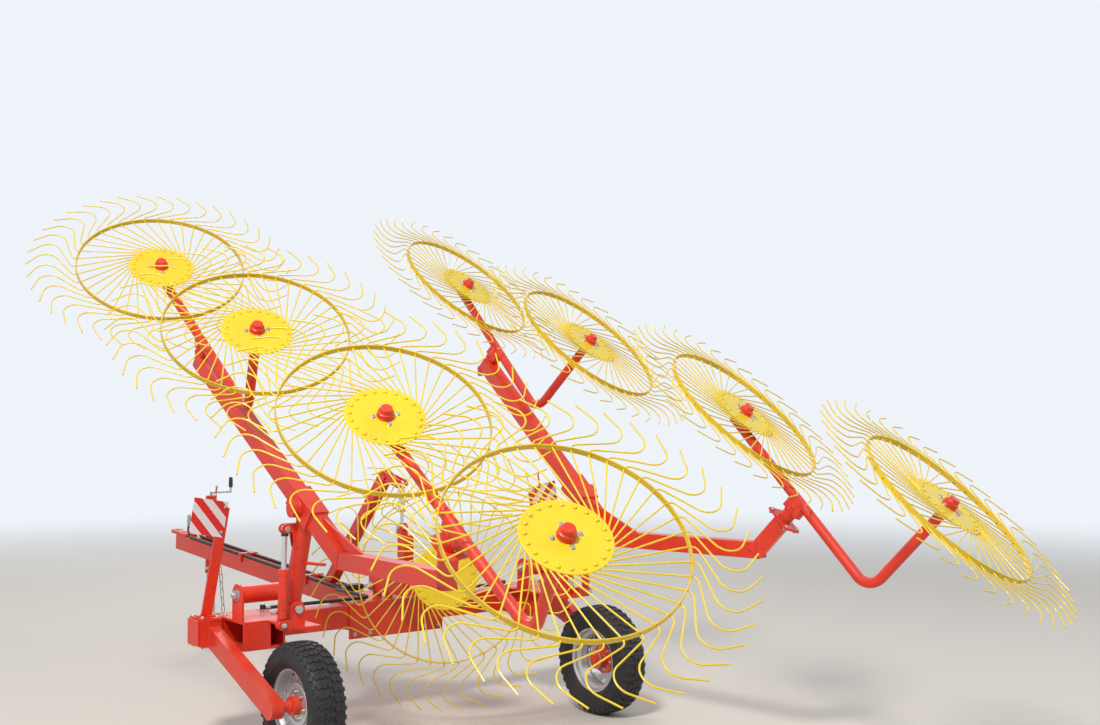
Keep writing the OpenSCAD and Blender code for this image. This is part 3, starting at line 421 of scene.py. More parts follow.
def addBlock(mesh, place, size, bevel):
    made = bmesh.ops.create_cube(mesh, size=1, matrix=place @ Matrix.Diagonal((*size, 1)))
    edges = list({edge for vert in made["verts"] for edge in vert.link_edges})
    bmesh.ops.bevel(mesh, geom=edges, offset=bevel, segments=2, profile=0.5, affect="EDGES", material=-1)


def addRing(mesh, profile, steps, place=Matrix(), slot=0):
    # turns a closed outline of (radius, height) points about the Z of place
    corners = [mesh.verts.new((r, 0, z)) for r, z in profile]
    edges = [mesh.edges.new((corners[i], corners[(i + 1) % len(corners)])) for i in range(len(corners))]
    facesBefore, vertsBefore = set(mesh.faces), set(mesh.verts) - set(corners)
    bmesh.ops.spin(mesh, geom=corners + edges, cent=(0, 0, 0), axis=(0, 0, 1), angle=math.tau,
                   steps=steps, use_merge=True, use_duplicate=False)
    made = [face for face in mesh.faces if face not in facesBefore]
    for face in made:
        face.material_index = slot
    bmesh.ops.recalc_face_normals(mesh, faces=made)
    fresh = [v for v in mesh.verts if v not in vertsBefore]
    bmesh.ops.transform(mesh, matrix=place, verts=fresh)
    bmesh.ops.remove_doubles(mesh, verts=fresh, dist=0.00001)


def spinCopies(mesh, geom, count):
    bmesh.ops.spin(mesh, geom=geom, cent=(0, 0, 0), axis=(0, 0, 1), steps=count - 1,
                   angle=math.radians(360 * (count - 1) / count), use_duplicate=True)


bolt = {"washer": 1.12, "washerThick": 0.0028, "sunk": 0.0006, "head": 0.92, "headHigh": 0.66, "chamfer": 0.12,
        "headTop": 0.78, "stud": 0.52, "studHigh": 0.42, "studTop": 0.44}


def addBolt(mesh, spot, out, size, slot=0, nut=False):
    # washer, six-sided head with its chamfer, and for a nut the end of the thread
    place = facing(spot, out)
    low = bolt["washerThick"]
    high = low + size * bolt["headHigh"]
    step = size * bolt["chamfer"]
    addDisc(mesh, place, size * bolt["washer"], -bolt["sunk"], low, 16, slot=slot)
    addDisc(mesh, place, size * bolt["head"], low, high - step, 6, slot=slot)
    addDisc(mesh, place, size * bolt["head"], high - step, high, 6, size * bolt["headTop"], slot=slot)
    if nut:
        addDisc(mesh, place, size * bolt["stud"], high, high + size * bolt["studHigh"], 10, size * bolt["studTop"],
                slot=slot)


def pushRing(mesh, edges, move, scale=1.0):
    # carries an open ring of edges on to the next place and returns it there
    out = bmesh.ops.extrude_edge_only(mesh, edges=edges)["geom"]
    verts = [item for item in out if isinstance(item, bmesh.types.BMVert)]
    bmesh.ops.translate(mesh, vec=move, verts=verts)
    if scale != 1.0:
        centre = sum((v.co for v in verts), Vector()) / len(verts)
        bmesh.ops.scale(mesh, vec=(scale, scale, scale), space=Matrix.Translation(-centre), verts=verts)
    return [item for item in out if isinstance(item, bmesh.types.BMEdge)]


weld = {"bead": 0.0045, "ripple": 0.018, "waist": 0.7, "swell": 1.35, "flat": 0.8}


def addWeld(mesh, start, end, radius):
    # rippled bead along a seam
    start, end = Vector(start), Vector(end)
    steps = max(4, 2 * round((end - start).length / weld["ripple"]))
    made = bmesh.ops.create_circle(mesh, cap_ends=True, segments=6, radius=radius * weld["waist"],
                                   matrix=facing(start, end - start))
    facesBefore = set(mesh.faces) - {face for v in made["verts"] for face in v.link_faces}
    ring = list({edge for v in made["verts"] for edge in v.link_edges})
    for index in range(steps):
        swell = weld["swell"] if index % 2 == 0 else 1 / weld["swell"]
        ring = pushRing(mesh, ring, (end - start) / steps, swell)
    bmesh.ops.contextual_create(mesh, geom=ring)
    bmesh.ops.recalc_face_normals(mesh, faces=[face for face in mesh.faces if face not in facesBefore])


def addWeldRing(mesh, place, radius, bead=weld["bead"]):
    # bead round a tube
    addRing(mesh, [(radius + spot.x * weld["flat"], spot.y) for spot in circlePlaces(6, bead)], 40, place)


# rake wheels: round wires with hooked ends, band, riveted plate, four bolts and red cap
rake = {"wire": 0.0034, "sides": 8, "slantDeg": 17.3, "reach": 0.432, "bendAt": 0.456, "bend": 0.028, "bendDeg": 71,
        "leg": 0.14, "hook": 0.065, "hookDeg": 113, "tip": 0.085, "tines": 40,
        "bandRadius": 0.45, "bandHalf": 0.012, "bandThick": 0.003, "bandEdge": 0.001,
        "plate": [(0.03, 0.004), (0.1685, 0.0033), (0.1725, 0.0042), (0.1725, 0.0056), (0.1695, 0.0068),
                  (0.1625, 0.0064), (0.09, 0.007), (0.03, 0.0074)],
        "hub": [(0.016, -0.028), (0.04, -0.028), (0.042, -0.026), (0.042, -0.008), (0.1, -0.0072),
                (0.15, -0.0036), (0.15, 0.0033), (0.016, 0.004)],
        "cap": [(0.016, 0.007), (0.0375, 0.007), (0.0375, 0.0105), (0.035, 0.0125), (0.0345, 0.03),
                (0.0285, 0.0325), (0.027, 0.0345), (0.0255, 0.05), (0.0235, 0.0522), (0.0, 0.0524),
                (0.0, 0.046), (0.016, 0.043)],
        "rivets": 20, "rivetTurnDeg": 9, "rivetRadius": 0.149, "rivetShadeWasher": (0.0125, 0.0058, 0.0072, 12, 0.0118),
        "rivetHead": ((0.0095, 0.0072, 0.0115, 10, 0.0084), (0.0084, 0.0115, 0.0138, 10, 0.0042)),
        "backShare": 0.84, "backDown": 0.005, "backBolt": (0.008, 0, 0.005, 6, 0.007),
        "bolts": 4, "boltTurnDeg": -11, "boltRadius": 0.055, "boltSize": 0.0092, "boltZ": 0.0072}


def makeTine(mesh):
    # one wire: slanting past the hub to the band, bend, leg, return hook and tip
    bendDeg, slantDeg = rake["bendDeg"], rake["slantDeg"]
    centre = Vector((rake["bendAt"], -rake["bend"], 0))
    out = Matrix.Rotation(math.radians(slantDeg), 3, "Z") @ Vector((1, 0, 0))
    bendStart = centre + Vector((-out.y, out.x, 0)) * rake["bend"]
    made = bmesh.ops.create_circle(mesh, cap_ends=True, segments=rake["sides"], radius=rake["wire"],
                                   matrix=facing(bendStart - out * rake["reach"], out))
    ring = list({edge for vert in made["verts"] for edge in vert.link_edges})

    def sweep(edges, centre, degrees, steps):
        verts = list({v for e in edges for v in e.verts})
        out = bmesh.ops.spin(mesh, geom=verts + edges, cent=centre, axis=(0, 0, 1), angle=math.radians(degrees),
                             steps=steps, use_duplicate=False)["geom_last"]
        return [g for g in out if isinstance(g, bmesh.types.BMEdge)]

    ring = pushRing(mesh, ring, out * rake["reach"])
    ring = sweep(ring, centre, -bendDeg - slantDeg, 6)
    along = Vector((math.cos(math.radians(bendDeg)), -math.sin(math.radians(bendDeg)), 0))
    ring = pushRing(mesh, ring, along * rake["leg"])
    tipPlace = sum((v.co for v in {v for e in ring for v in e.verts}), Vector()) / rake["sides"]
    ring = sweep(ring, tipPlace + Vector((-along.y, along.x, 0)) * rake["hook"], rake["hookDeg"], 9)
    tipAngle = math.radians(rake["hookDeg"] - bendDeg)
    ring = pushRing(mesh, ring, Vector((math.cos(tipAngle), math.sin(tipAngle), 0)) * rake["tip"])
    bmesh.ops.contextual_create(mesh, geom=ring)


def makeRakeWheel(name, place, wheel):
    mesh = bmesh.new()
    makeTine(mesh)
    bmesh.ops.recalc_face_normals(mesh, faces=mesh.faces)
    spinCopies(mesh, mesh.verts[:] + mesh.edges[:] + mesh.faces[:], rake["tines"])
    radius, half, thick, edge = rake["bandRadius"], rake["bandHalf"], rake["bandThick"], rake["bandEdge"]
    corner = [(-thick, -half + edge), (-thick + edge, -half), (thick - edge, -half), (thick, -half + edge)]
    # the band takes the darker yellow in slot 3: painted shade on the band
    addRing(mesh, [(radius + x, z) for x, z in corner + [(-x, -z) for x, z in corner]], 96, slot=3)
    addRing(mesh, rake["plate"], 72)
    addRing(mesh, rake["hub"], 48)
    for index, spot in enumerate(circlePlaces(rake["rivets"], rake["rivetRadius"], rake["rivetTurnDeg"])):
        # dark yellow washer ring round each rivet head: painted shade
        addDisc(mesh, moved(*spot), *rake["rivetShadeWasher"], slot=3)
        addDiscs(mesh, moved(*spot), rake["rivetHead"])
        if index % 3 == 0:
            addDisc(mesh, facing(spot * rake["backShare"] - up * rake["backDown"], -up), *rake["backBolt"])
    for spot in circlePlaces(rake["bolts"], rake["boltRadius"], rake["boltTurnDeg"]):
        addBolt(mesh, spot + up * rake["boltZ"], up, rake["boltSize"], slot=1, nut=True)
    addRing(mesh, rake["cap"], 32, slot=2)
    finishPiece(name, mesh, place, wheel, ["yellow_paint", "grey_steel", "red_paint", "painted_shade_yellow"], [wheel])


for index in range(4):
    for side, flip in bothSides:
        makeRakeWheel(f"{side}Rake{index + 1}", flip @ rowPlace(index), f"{side}_rake_wheel_{index + 1}")
kickerHub = {"place": (0, 0.18, 0.81), "headingDeg": -124.8}
kickerPlace = moved(*kickerHub["place"]) @ turned(kickerHub["headingDeg"], "Z") @ turned(90, "Y")
makeRakeWheel("kickerRake", kickerPlace, "kicker_wheel")
print("rake wheels made")

# ground wheels: carcass with slanting tread blocks, stepped rim, wheel nuts
tyre = {"pitches": 40, "axleHeight": 0.3, "wheelX": 0.93,
        "outerWall": [(0.172, 0.064), (0.178, 0.07), (0.196, 0.078), (0.222, 0.0845), (0.246, 0.085),
                      (0.266, 0.081), (0.279, 0.074), (0.287, 0.062), (0.29, 0.038)],
        "crown": (0.291, 0.0), "innerCrown": (0.28, 0.0),
        "innerWall": [(0.178, 0.058), (0.196, 0.066), (0.246, 0.072), (0.276, 0.056)],
        "ridges": ((0.205, 0.0828), (0.258, 0.0838)), "topShare": 0.86,
        "ridge": [(-0.002, -0.003), (0.002, -0.003), (0.001, 0.0005), (-0.001, 0.0005)]}
treadRows = [{"z": 0.0, "size": (0.015, 0.024, 0.022), "turnDeg": 30, "tiltDeg": 0, "radius": 0.2905},
             {"z": 0.026, "size": (0.015, 0.026, 0.024), "turnDeg": -28, "tiltDeg": 3, "radius": 0.29},
             {"z": 0.054, "size": (0.015, 0.026, 0.03), "turnDeg": 20, "tiltDeg": 10, "radius": 0.2862},
             {"z": 0.0745, "size": (0.012, 0.02, 0.018), "turnDeg": 0, "tiltDeg": 42, "radius": 0.274}]


def makeTread(mesh, entry, side):
    # one block, narrower at its top, copied round the tyre
    block = bmesh.ops.create_cube(mesh, size=1, matrix=turned(180 / tyre["pitches"] * (side < 0), "Z")
                                  @ moved(entry["radius"], 0, side * entry["z"])
                                  @ turned(-side * entry["tiltDeg"], "Y") @ turned(side * entry["turnDeg"], "X")
                                  @ Matrix.Diagonal((*entry["size"], 1)))
    faces = list({face for v in block["verts"] for face in v.link_faces})
    top = max(faces, key=lambda face: face.calc_center_median().xy.length)
    bmesh.ops.scale(mesh, vec=(1, tyre["topShare"], tyre["topShare"]), verts=top.verts,
                    space=Matrix.Translation(-top.calc_center_median()))
    geom = block["verts"] + faces + list({edge for face in faces for edge in face.edges})
    spinCopies(mesh, geom, tyre["pitches"])


def makeTyre(name, place, body, nodeName):
    mesh = bmesh.new()
    outer, inner = tyre["outerWall"], tyre["innerWall"]
    addRing(mesh, [(r, -z) for r, z in outer] + [tyre["crown"]] + outer[::-1]
            + inner + [tyre["innerCrown"]] + [(r, -z) for r, z in inner[::-1]], 72)
    for radius, z in tyre["ridges"]:
        for side in (-1, 1):
            addRing(mesh, [(radius + out, side * (z + high)) for out, high in tyre["ridge"]], 60)
    for entry in treadRows:
        for side in ((1,) if entry["z"] == 0 else (-1, 1)):
            makeTread(mesh, entry, side)
    finishPiece(name, mesh, place, body, ["tyre_rubber"], [nodeName])


rim = {"wheelNuts": 6, "nutRadius": 0.062, "nutTurnDeg": 15, "nut": 0.0105, "nutBack": 0.01,
       "discFront": 0.0262, "discBack": 0.0098,
       "lip": [(0.165, 0.052), (0.168, 0.062), (0.178, 0.064), (0.182, 0.062), (0.181, 0.058), (0.183, 0.062),
               (0.18, 0.067), (0.167, 0.065), (0.162, 0.054)],
       "dropCentre": [(0.1645, -0.04), (0.146, -0.028), (0.146, 0.014), (0.1645, 0.019), (0.1625, 0.019),
                      (0.143, 0.014), (0.143, -0.028), (0.1625, -0.041)],
       "discRidge": [(0.078, 0.0262), (0.1, 0.0262), (0.104, 0.03), (0.1, 0.033), (0.082, 0.0325),
                     (0.076, 0.029)],
       "greaseCap": [(0.0, 0.0652), (0.03, 0.0652), (0.03, 0.076), (0.026, 0.08), (0.01, 0.083),
                     (0.0, 0.0832)],
       "backSeal": [(0.0452, -0.0448), (0.0452, -0.038), (0.049, -0.037), (0.049, -0.0448)],
       "valve": ((0.162, 0, 0.034), (0.144, 0, 0.052), 0.0042, 10)}


def makeRimDetail(name, place, body):
    # rolled lips, drop centre, wheel nuts, grease cap and valve
    mesh = bmesh.new()
    for side in (-1, 1):
        addRing(mesh, [(r, side * z) for r, z in rim["lip"]], 72)
    addRing(mesh, rim["dropCentre"], 72)
    addRing(mesh, rim["discRidge"], 60)
    for spot in circlePlaces(rim["wheelNuts"], rim["nutRadius"], rim["nutTurnDeg"]):
        addBolt(mesh, spot + up * rim["discFront"], up, rim["nut"], slot=1, nut=True)
        addBolt(mesh, spot + up * rim["discBack"], -up, rim["nutBack"], slot=1)
    addRing(mesh, rim["greaseCap"], 24, slot=2)
    addRing(mesh, rim["backSeal"], 32, slot=1)
    addRod(mesh, *rim["valve"], slot=3)
    finishPiece(name, mesh, place, body, ["rim_silver", "grey_steel", "red_paint", "black_rubber"])


for side, flip in bothSides:
    wheelPlace = flip @ moved(-tyre["wheelX"], 0, tyre["axleHeight"]) @ turned(-90, "Y")
    makeTyre(f"{side}TreadedTyre", wheelPlace, f"{side}_ground_wheel", f"{side}_tyre")
    makeRimDetail(f"{side}RimDetail", wheelPlace, f"{side}_ground_wheel")
print("ground wheels made")

# frames of the places that carry bolts, welds and fittings, on the left side
hinge = {"place": (-0.85, 0.27, 0.72), "yawDeg": 3, "pinHalf": 0.09,
         "liftBase": Vector((-0.1, -0.11, -0.065)), "liftEye": Vector((-0.085, -0.11, 0.4))}
boom = {"knee": Vector((-0.827, -0.215, 0.994)), "heel": Vector((-0.92, -1.2, 1.01)), "postTopY": 0.1}
bar = {"rear": (0, 0.78, 0.56), "slopeDeg": 3.4707}
jackPlace = moved(0.1, 3.29, 0)
hingePlace = moved(*hinge["place"]) @ turned(-hinge["yawDeg"], "Z")
barPlace = moved(*bar["rear"]) @ turned(bar["slopeDeg"], "X")
boardPlace = moved(-board["footX"], board["y"], board["footZ"]) @ turned(board["lean"], "Y")
lift = hinge["liftEye"] - hinge["liftBase"]
liftPlace = hingePlace @ moved(*hinge["liftBase"]) @ turned(math.degrees(math.atan2(lift.x, lift.z)), "Y")
boomFront, boomRear = (sleevePlace(index).translation for index in (0, 2))
boomDir = (boom["knee"] - boomFront).normalized()
middleDir = (boom["heel"] - boom["knee"]).normalized()
boomEndDir = (boomRear - boom["heel"]).normalized()
postTop = boomFront + (boom["knee"] - boomFront) * (boomFront.y - boom["postTopY"]) / (boomFront.y - boom["knee"].y)
squareCorners = ((-1, -1), (1, -1), (1, 1), (-1, 1))


def addBolts(mesh, rows, place=Matrix()):
    # rows of bolts: every x with every y and z, the way the head looks, the size, with a nut or not
    for xs, ys, zs, out, size, nut in rows:
        for spot in product(xs, ys, zs):
            addBolt(mesh, place @ Vector(spot), place.to_3x3() @ Vector(out), size, nut=nut)


def addSeams(mesh, rows, place=Matrix()):
    # rows of straight beads: every x with every y and z as a start, the run from it, the thickness
    for xs, ys, zs, run, bead in rows:
        for spot in product(xs, ys, zs):
            addWeld(mesh, place @ Vector(spot), place @ (Vector(spot) + Vector(run)), bead)


def addSplitPin(mesh, middle, half):
    # thin pin across the end of a bolt
    addRod(mesh, middle - Vector(half), middle + Vector(half), 0.0018, 6)


link = {"wire": 0.0026, "pitch": 0.04, "half": 0.0092, "stretch": 0.0135}


def addChain(mesh, start, end):
    # welded links hanging straight, each turned a quarter from the last
    start, end = Vector(start), Vector(end)
    count = max(2, round((end - start).length / link["pitch"]))
    for index in range(count):
        middle = start + (end - start) * (index + 0.5) / count
        before = set(mesh.verts)
        addRing(mesh, wireOutline(link["half"], link["wire"], 5), 10)
        verts = [v for v in mesh.verts if v not in before]
        for sign in (-1, 1):
            bmesh.ops.translate(mesh, vec=(0, sign * link["stretch"], 0),
                                verts=[v for v in verts if v.co.y * sign > 0.0001])
        place = facing(middle, end - start) @ turned(90 * (index % 2), "Z") @ turned(90, "X")
        bmesh.ops.transform(mesh, matrix=place, verts=verts)


clampPlates = {"top": 0.642, "bottom": 0.498,
               "bolts": [((-1.134, -1.057), (0.789, 0.674), 0.0085),  # end of the beam
                         ((-1.008, -0.782), (0.6, 0.68, 0.762), 0.0105),  # wing bracket
                         ((-0.27, -0.175), (0.676, 0.768), 0.0105),  # middle of the beam
                         ((-0.056,), (0.93, 1.005), 0.0095)]}  # drawbar
frameBolts = [((-1.1315, -1.0585), (0.72,), (0.65,), (0, 0, 1), 0.0072, False),  # foot of the board post
              ((-1.03,), (0.5,), (0.77,), (-1, 0, 0), 0.026, True),  # tube of the wing bracket
              ((-0.76,), (0.5,), (0.77,), (1, 0, 0), 0.026, True),
              ((-0.27, -0.175), (0.648,), (0.474,), (0, -1, 0), 0.0105, False),  # middle of the beam
              ((-0.27, -0.175), (0.66,), (0.474,), (0, 1, 0), 0.0105, True),
              ((-0.062,), (0.85, 0.98), (0.545, 0.595), (-1, 0, 0), 0.0095, True)]  # drawbar's side
boardBolts = [((0,), (-0.009,), (0.43, 0.56), (0, -1, 0), 0.0075, False),
              ((0,), (0.006,), (0.43, 0.56), (0, 1, 0), 0.0075, True)]
hingePin = {"head": (0.0215, -0.001, 0.007, 20, 0.0195), "nut": 0.019, "splitPinAt": 0.019, "splitPinHalf": 0.019,
            "liftLugOut": 0.03, "liftBolt": 0.0125}


def makeFrameBolts(side, flip):
    mesh = bmesh.new()
    for xs, ys, size in clampPlates["bolts"]:
        addBolts(mesh, [(xs, ys, (clampPlates["top"],), up, size, False),
                        (xs, ys, (clampPlates["bottom"],), -up, size, True)])
    addBolts(mesh, frameBolts)
    addBolts(mesh, boardBolts, boardPlace)
    ends = [hingePlace @ Vector((0, s * hinge["pinHalf"], 0)) for s in (-1, 1)]
    pinDir = (ends[1] - ends[0]).normalized()
    addDisc(mesh, facing(ends[0], -pinDir), *hingePin["head"])
    addBolt(mesh, ends[1], pinDir, hingePin["nut"], nut=True)
    addSplitPin(mesh, ends[1] + pinDir * hingePin["splitPinAt"], (hingePin["splitPinHalf"], 0, 0))
    for s in (-1, 1):
        spot = hingePlace @ (hinge["liftBase"] + Vector((0, s * hingePin["liftLugOut"], 0)))
        addBolt(mesh, spot, pinDir * s, hingePin["liftBolt"], nut=s > 0)
    finishPiece(f"{side}FrameBolts", mesh, flip, "frame", ["grey_steel"])


frameSeams = [((-1.112,), (0.6475,), (0.6305, 0.5095), (0.064, 0, 0), 0.0045),  # trailing arm on the beam
              ((-1.1105, -1.0495), (0.6455,), (0.5,), (0, 0, 0.1), 0.0045),
              ((-1.0165, -0.7735), (0.448,), (0.6435,), (0, 0.104, 0), 0.0045),  # bracket's uprights
              ((-0.91, -0.891), (0.43,), (0.5115,), (0.0005, 0.225, 0), 0.0035),  # bracket's ribs
              ((-0.809, -0.79), (0.43,), (0.5115,), (-0.0005, 0.225, 0), 0.0035),
              ((-0.0625,), (0.785,), (0.6295,), (0, 0.25, 0), 0.004),  # drawbar on its plates
              ((-0.0515,), (1.0405,), (0.53,), (0, 0, 0.092), 0.0045),
              ((-0.0435, -0.0285), (0.767,), (0.6432,), (0, 0.066, 0), 0.0035)]  # kicker's lugs
boardSeams = [((-0.026,), (-0.0065, 0.0065), (0.009,), (0.052, 0, 0), 0.003)]
hingeLug = {"out": 0.071, "half": 0.036, "thick": 0.008, "weldZ": 0.643}
bracketTube = {"ends": (-1.0165, -0.7735), "y": 0.5, "z": 0.77, "radius": 0.0455}
stubAxle = {"x": -1.0475, "radius": 0.0252, "bead": 0.004}
boardStalk = {"x": -0.06, "y": 0.001, "low": 0.52, "high": 0.655, "radius": 0.0045}


def makeFrameWelds(side, flip):
    mesh = bmesh.new()
    addSeams(mesh, frameSeams)
    addSeams(mesh, boardSeams, boardPlace)
    for s in (-1, 1):
        lug = hingePlace @ Vector((0, s * hingeLug["out"], 0))
        addSeams(mesh, [((lug.x - hingeLug["half"],), (lug.y - hingeLug["thick"], lug.y + hingeLug["thick"]),
                         (hingeLug["weldZ"],), (2 * hingeLug["half"], 0, 0), weld["bead"])])
    for x in bracketTube["ends"]:
        addWeldRing(mesh, moved(x, bracketTube["y"], bracketTube["z"]) @ turned(90, "Y"), bracketTube["radius"])
    addWeldRing(mesh, moved(stubAxle["x"], 0, tyre["axleHeight"]) @ turned(90, "Y"),
                stubAxle["radius"], stubAxle["bead"])
    x, y = boardStalk["x"], boardStalk["y"]
    addRod(mesh, boardPlace @ Vector((x, y, boardStalk["low"])), boardPlace @ Vector((x, y, boardStalk["high"])),
           boardStalk["radius"], 10)
    addBlock(mesh, boardPlace @ moved(x / 2, y, boardStalk["low"] + 0.015), (0.07, 0.006, 0.018), 0.0015)
    finishPiece(f"{side}FrameWelds", mesh, flip, "frame", ["red_paint"])


postChain = {"nuts": (0.612, 0.655), "peg": ((-1.086, 0.724, 0.885), (-1.0125, 0.724, 0.893)),
             "pegNut": (-1.084, 0.724, 0.8855), "ends": ((-1.0145, 0.73, 0.89), (-0.994, 0.735, 0.652))}


def makePostChain(side, flip):
    mesh = bmesh.new()
    for z in postChain["nuts"]:
        addBolt(mesh, boardPlace @ Vector((boardStalk["x"], boardStalk["y"], z)), up, 0.0075, nut=True)
    addRod(mesh, *postChain["peg"], 0.004, 10)
    addBolt(mesh, postChain["pegNut"], (-1, 0, 0.1), 0.007, nut=True)
    addChain(mesh, *postChain["ends"])
    finishPiece(f"{side}PostChain", mesh, flip, "frame", ["grey_steel"])


wingPin = {"half": 0.0335, "radius": 0.0096, "head": (0.015, 0, 0.006, 16, 0.0135), "splitPinIn": 0.004,
           "splitPinHalf": 0.014}
flange = {"along": (-0.062, 0.062), "across": (-0.042, 0.042), "half": 0.006, "bolt": 0.0095}
nipple = {"along": 0.034, "up": 0.02, "length": 0.012, "radius": 0.0035}


def makeWingPins(side, flip):
    mesh = bmesh.new()
    low, high = (hingePlace @ (hinge["liftEye"] + Vector((0, s * wingPin["half"], 0))) for s in (-1, 1))
    pinDir = (high - low).normalized()
    addRod(mesh, low, high, wingPin["radius"], 16)
    addDisc(mesh, facing(low, -pinDir), *wingPin["head"])
    addSplitPin(mesh, high - pinDir * wingPin["splitPinIn"], (wingPin["splitPinHalf"], 0, 0))
    addBolts(mesh, [(flange["along"], flange["across"], (flange["half"],), up, flange["bolt"], False),
                    (flange["along"], flange["across"], (-flange["half"],), -up, flange["bolt"], True)],
             sleevePlace(2))
    for index in (0, 2):
        start = Vector((nipple["along"], 0, nipple["up"]))
        end = start + Vector((nipple["length"], 0, 0))
        addRod(mesh, sleevePlace(index) @ start, sleevePlace(index) @ end, nipple["radius"], 8)
    finishPiece(f"{side}WingPins", mesh, flip, f"{side}_wing", ["grey_steel"])


sleeveCollar = [(0.0345, 0.054), (0.0375, 0.054), (0.0375, 0.046), (0.0345, 0.045)]
postWelds = {"eyeY": -0.0632, "topGap": 0.0535, "footGap": 0.034, "eye": (0.03, 0.003), "top": (0.0435, 0.0055),
             "foot": (0.044, 0.005), "boss": (0.045, 0.005)}
saddle = {"half": 0.1005, "out": 0.0405, "bead": 0.005}
mitre = {"across": 0.0412, "up": 0.0425, "bead": 0.004}
boomCap = {"gap": 0.0005, "size": (0.078, 0.078, 0.003), "bevel": 0.001}
postPeg = ((-0.838, 0.15, 0.948), (-0.838, -0.045, 0.958))


def addSquareWeld(mesh, middle, across, upward, bead):
    # four beads round a square tube
    corners = [middle + across * a + upward * b for a, b in squareCorners]
    for index in range(4):
        addWeld(mesh, corners[index], corners[(index + 1) % 4], bead)


def makeWingWelds(side, flip):
    mesh = bmesh.new()
    for index in (0, 2):
        for s in (-1, 1):
            addRing(mesh, [(r, s * z) for r, z in sleeveCollar], 40, sleevePlace(index))
    foot = Vector(hinge["place"])
    postDir = (postTop - foot).normalized()
    yaw = math.radians(hinge["yawDeg"])
    bossDir = Vector((-math.cos(yaw), math.sin(yaw), 0))
    addWeldRing(mesh, hingePlace @ moved(0, postWelds["eyeY"], 0) @ turned(90, "X"), *postWelds["eye"])
    addWeldRing(mesh, facing(postTop - postDir * postWelds["topGap"], postDir), *postWelds["top"])
    addWeldRing(mesh, facing(foot + postDir * postWelds["footGap"], postDir), *postWelds["foot"])
    addWeldRing(mesh, facing(postTop + bossDir * postWelds["topGap"], bossDir), *postWelds["boss"])
    across = boomDir.cross(up).normalized()
    for end in (-saddle["half"], saddle["half"]):
        addSquareWeld(mesh, postTop + boomDir * end, across * saddle["out"],
                      across.cross(boomDir).normalized() * saddle["out"], saddle["bead"])
    for joint, before, after in ((boom["knee"], boomDir, middleDir), (boom["heel"], middleDir, boomEndDir)):
        through = (before + after).normalized()
        across = Vector((-through.y, through.x, 0)).normalized()
        addSquareWeld(mesh, joint, across * mitre["across"], through.cross(across).normalized() * mitre["up"],
                      mitre["bead"])
    for end, out in ((boomFront, -boomDir), (boomRear, boomEndDir)):
        place = facing(end + out * boomCap["gap"], out)
        level = place.to_3x3().inverted() @ Vector((out.y, -out.x, 0)).normalized()
        addBlock(mesh, place @ turned(math.degrees(math.atan2(level.y, level.x)), "Z"),
                 boomCap["size"], boomCap["bevel"])
    addRod(mesh, *postPeg, 0.008, 12)
    finishPiece(f"{side}WingWelds", mesh, flip, f"{side}_wing", ["red_paint"])


barrel = {"gland": [(0.0128, 0.2655), (0.0128, 0.27), (0.0215, 0.27), (0.024, 0.267),
                    (0.024, 0.24), (0.0218, 0.238), (0.0218, 0.2655)],
          "bands": (0.0345, 0.08), "band": [(0.0218, -0.003), (0.0235, -0.002), (0.0235, 0.002), (0.0218, 0.003)],
          "port": ((-0.019, 0, 0.062), (-0.034, 0, 0.062), 0.009, 12),
          "portSteps": ((0.0095, 0, 0.008, 6), (0.006, 0.008, 0.016, 12))}
rodCollar = ((0.0185, -0.036, -0.026, 6), (0.0165, -0.026, -0.014, 20))


def makeLiftFittings(side, flip):
    mesh = bmesh.new()
    addRing(mesh, barrel["gland"], 32, liftPlace)
    for z in barrel["bands"]:
        addRing(mesh, barrel["band"], 32, liftPlace @ moved(0, 0, z))
    inner, outer, radius, sides = barrel["port"]
    port = liftPlace @ Vector(outer)
    addRod(mesh, liftPlace @ Vector(inner), port, radius, sides)
    finishPiece(f"{side}BarrelRings", mesh, flip, f"{side}_lift_barrel", ["red_paint"])
    mesh = bmesh.new()
    addDiscs(mesh, facing(port, (-1, 0, 0)), barrel["portSteps"])
    finishPiece(f"{side}BarrelPort", mesh, flip, f"{side}_lift_barrel", ["grey_steel"])
    mesh = bmesh.new()
    addDiscs(mesh, liftPlace @ moved(0, 0, lift.length), rodCollar)
    finishPiece(f"{side}RodCollar", mesh, flip, f"{side}_lift_rod", ["black_rubber"])


rocker = {"hubCollarZ": -0.0335,
          "hubCollar": [(0.0225, -0.004), (0.0265, -0.0045), (0.024, 0.0005), (0.0225, 0.0)],
          "hubWeldZ": -0.0345, "hubWeld": (0.0215, 0.004), "sleeveWeldZ": -0.0925, "sleeveWeld": (0.0282, 0.004),
          "endCapAt": (-0.0295, 0, -0.058), "endCap": (0.0245, 0, 0.0035, 24, 0.0225),
          "pivotZ": -0.2473, "pivotNut": 0.021, "splitPinAt": 0.02, "splitPinHalf": 0.02,
          "seams": [((-0.05,), (-0.0215, 0.0215), (-0.0735,), (0.1, 0, 0), 0.004)]}


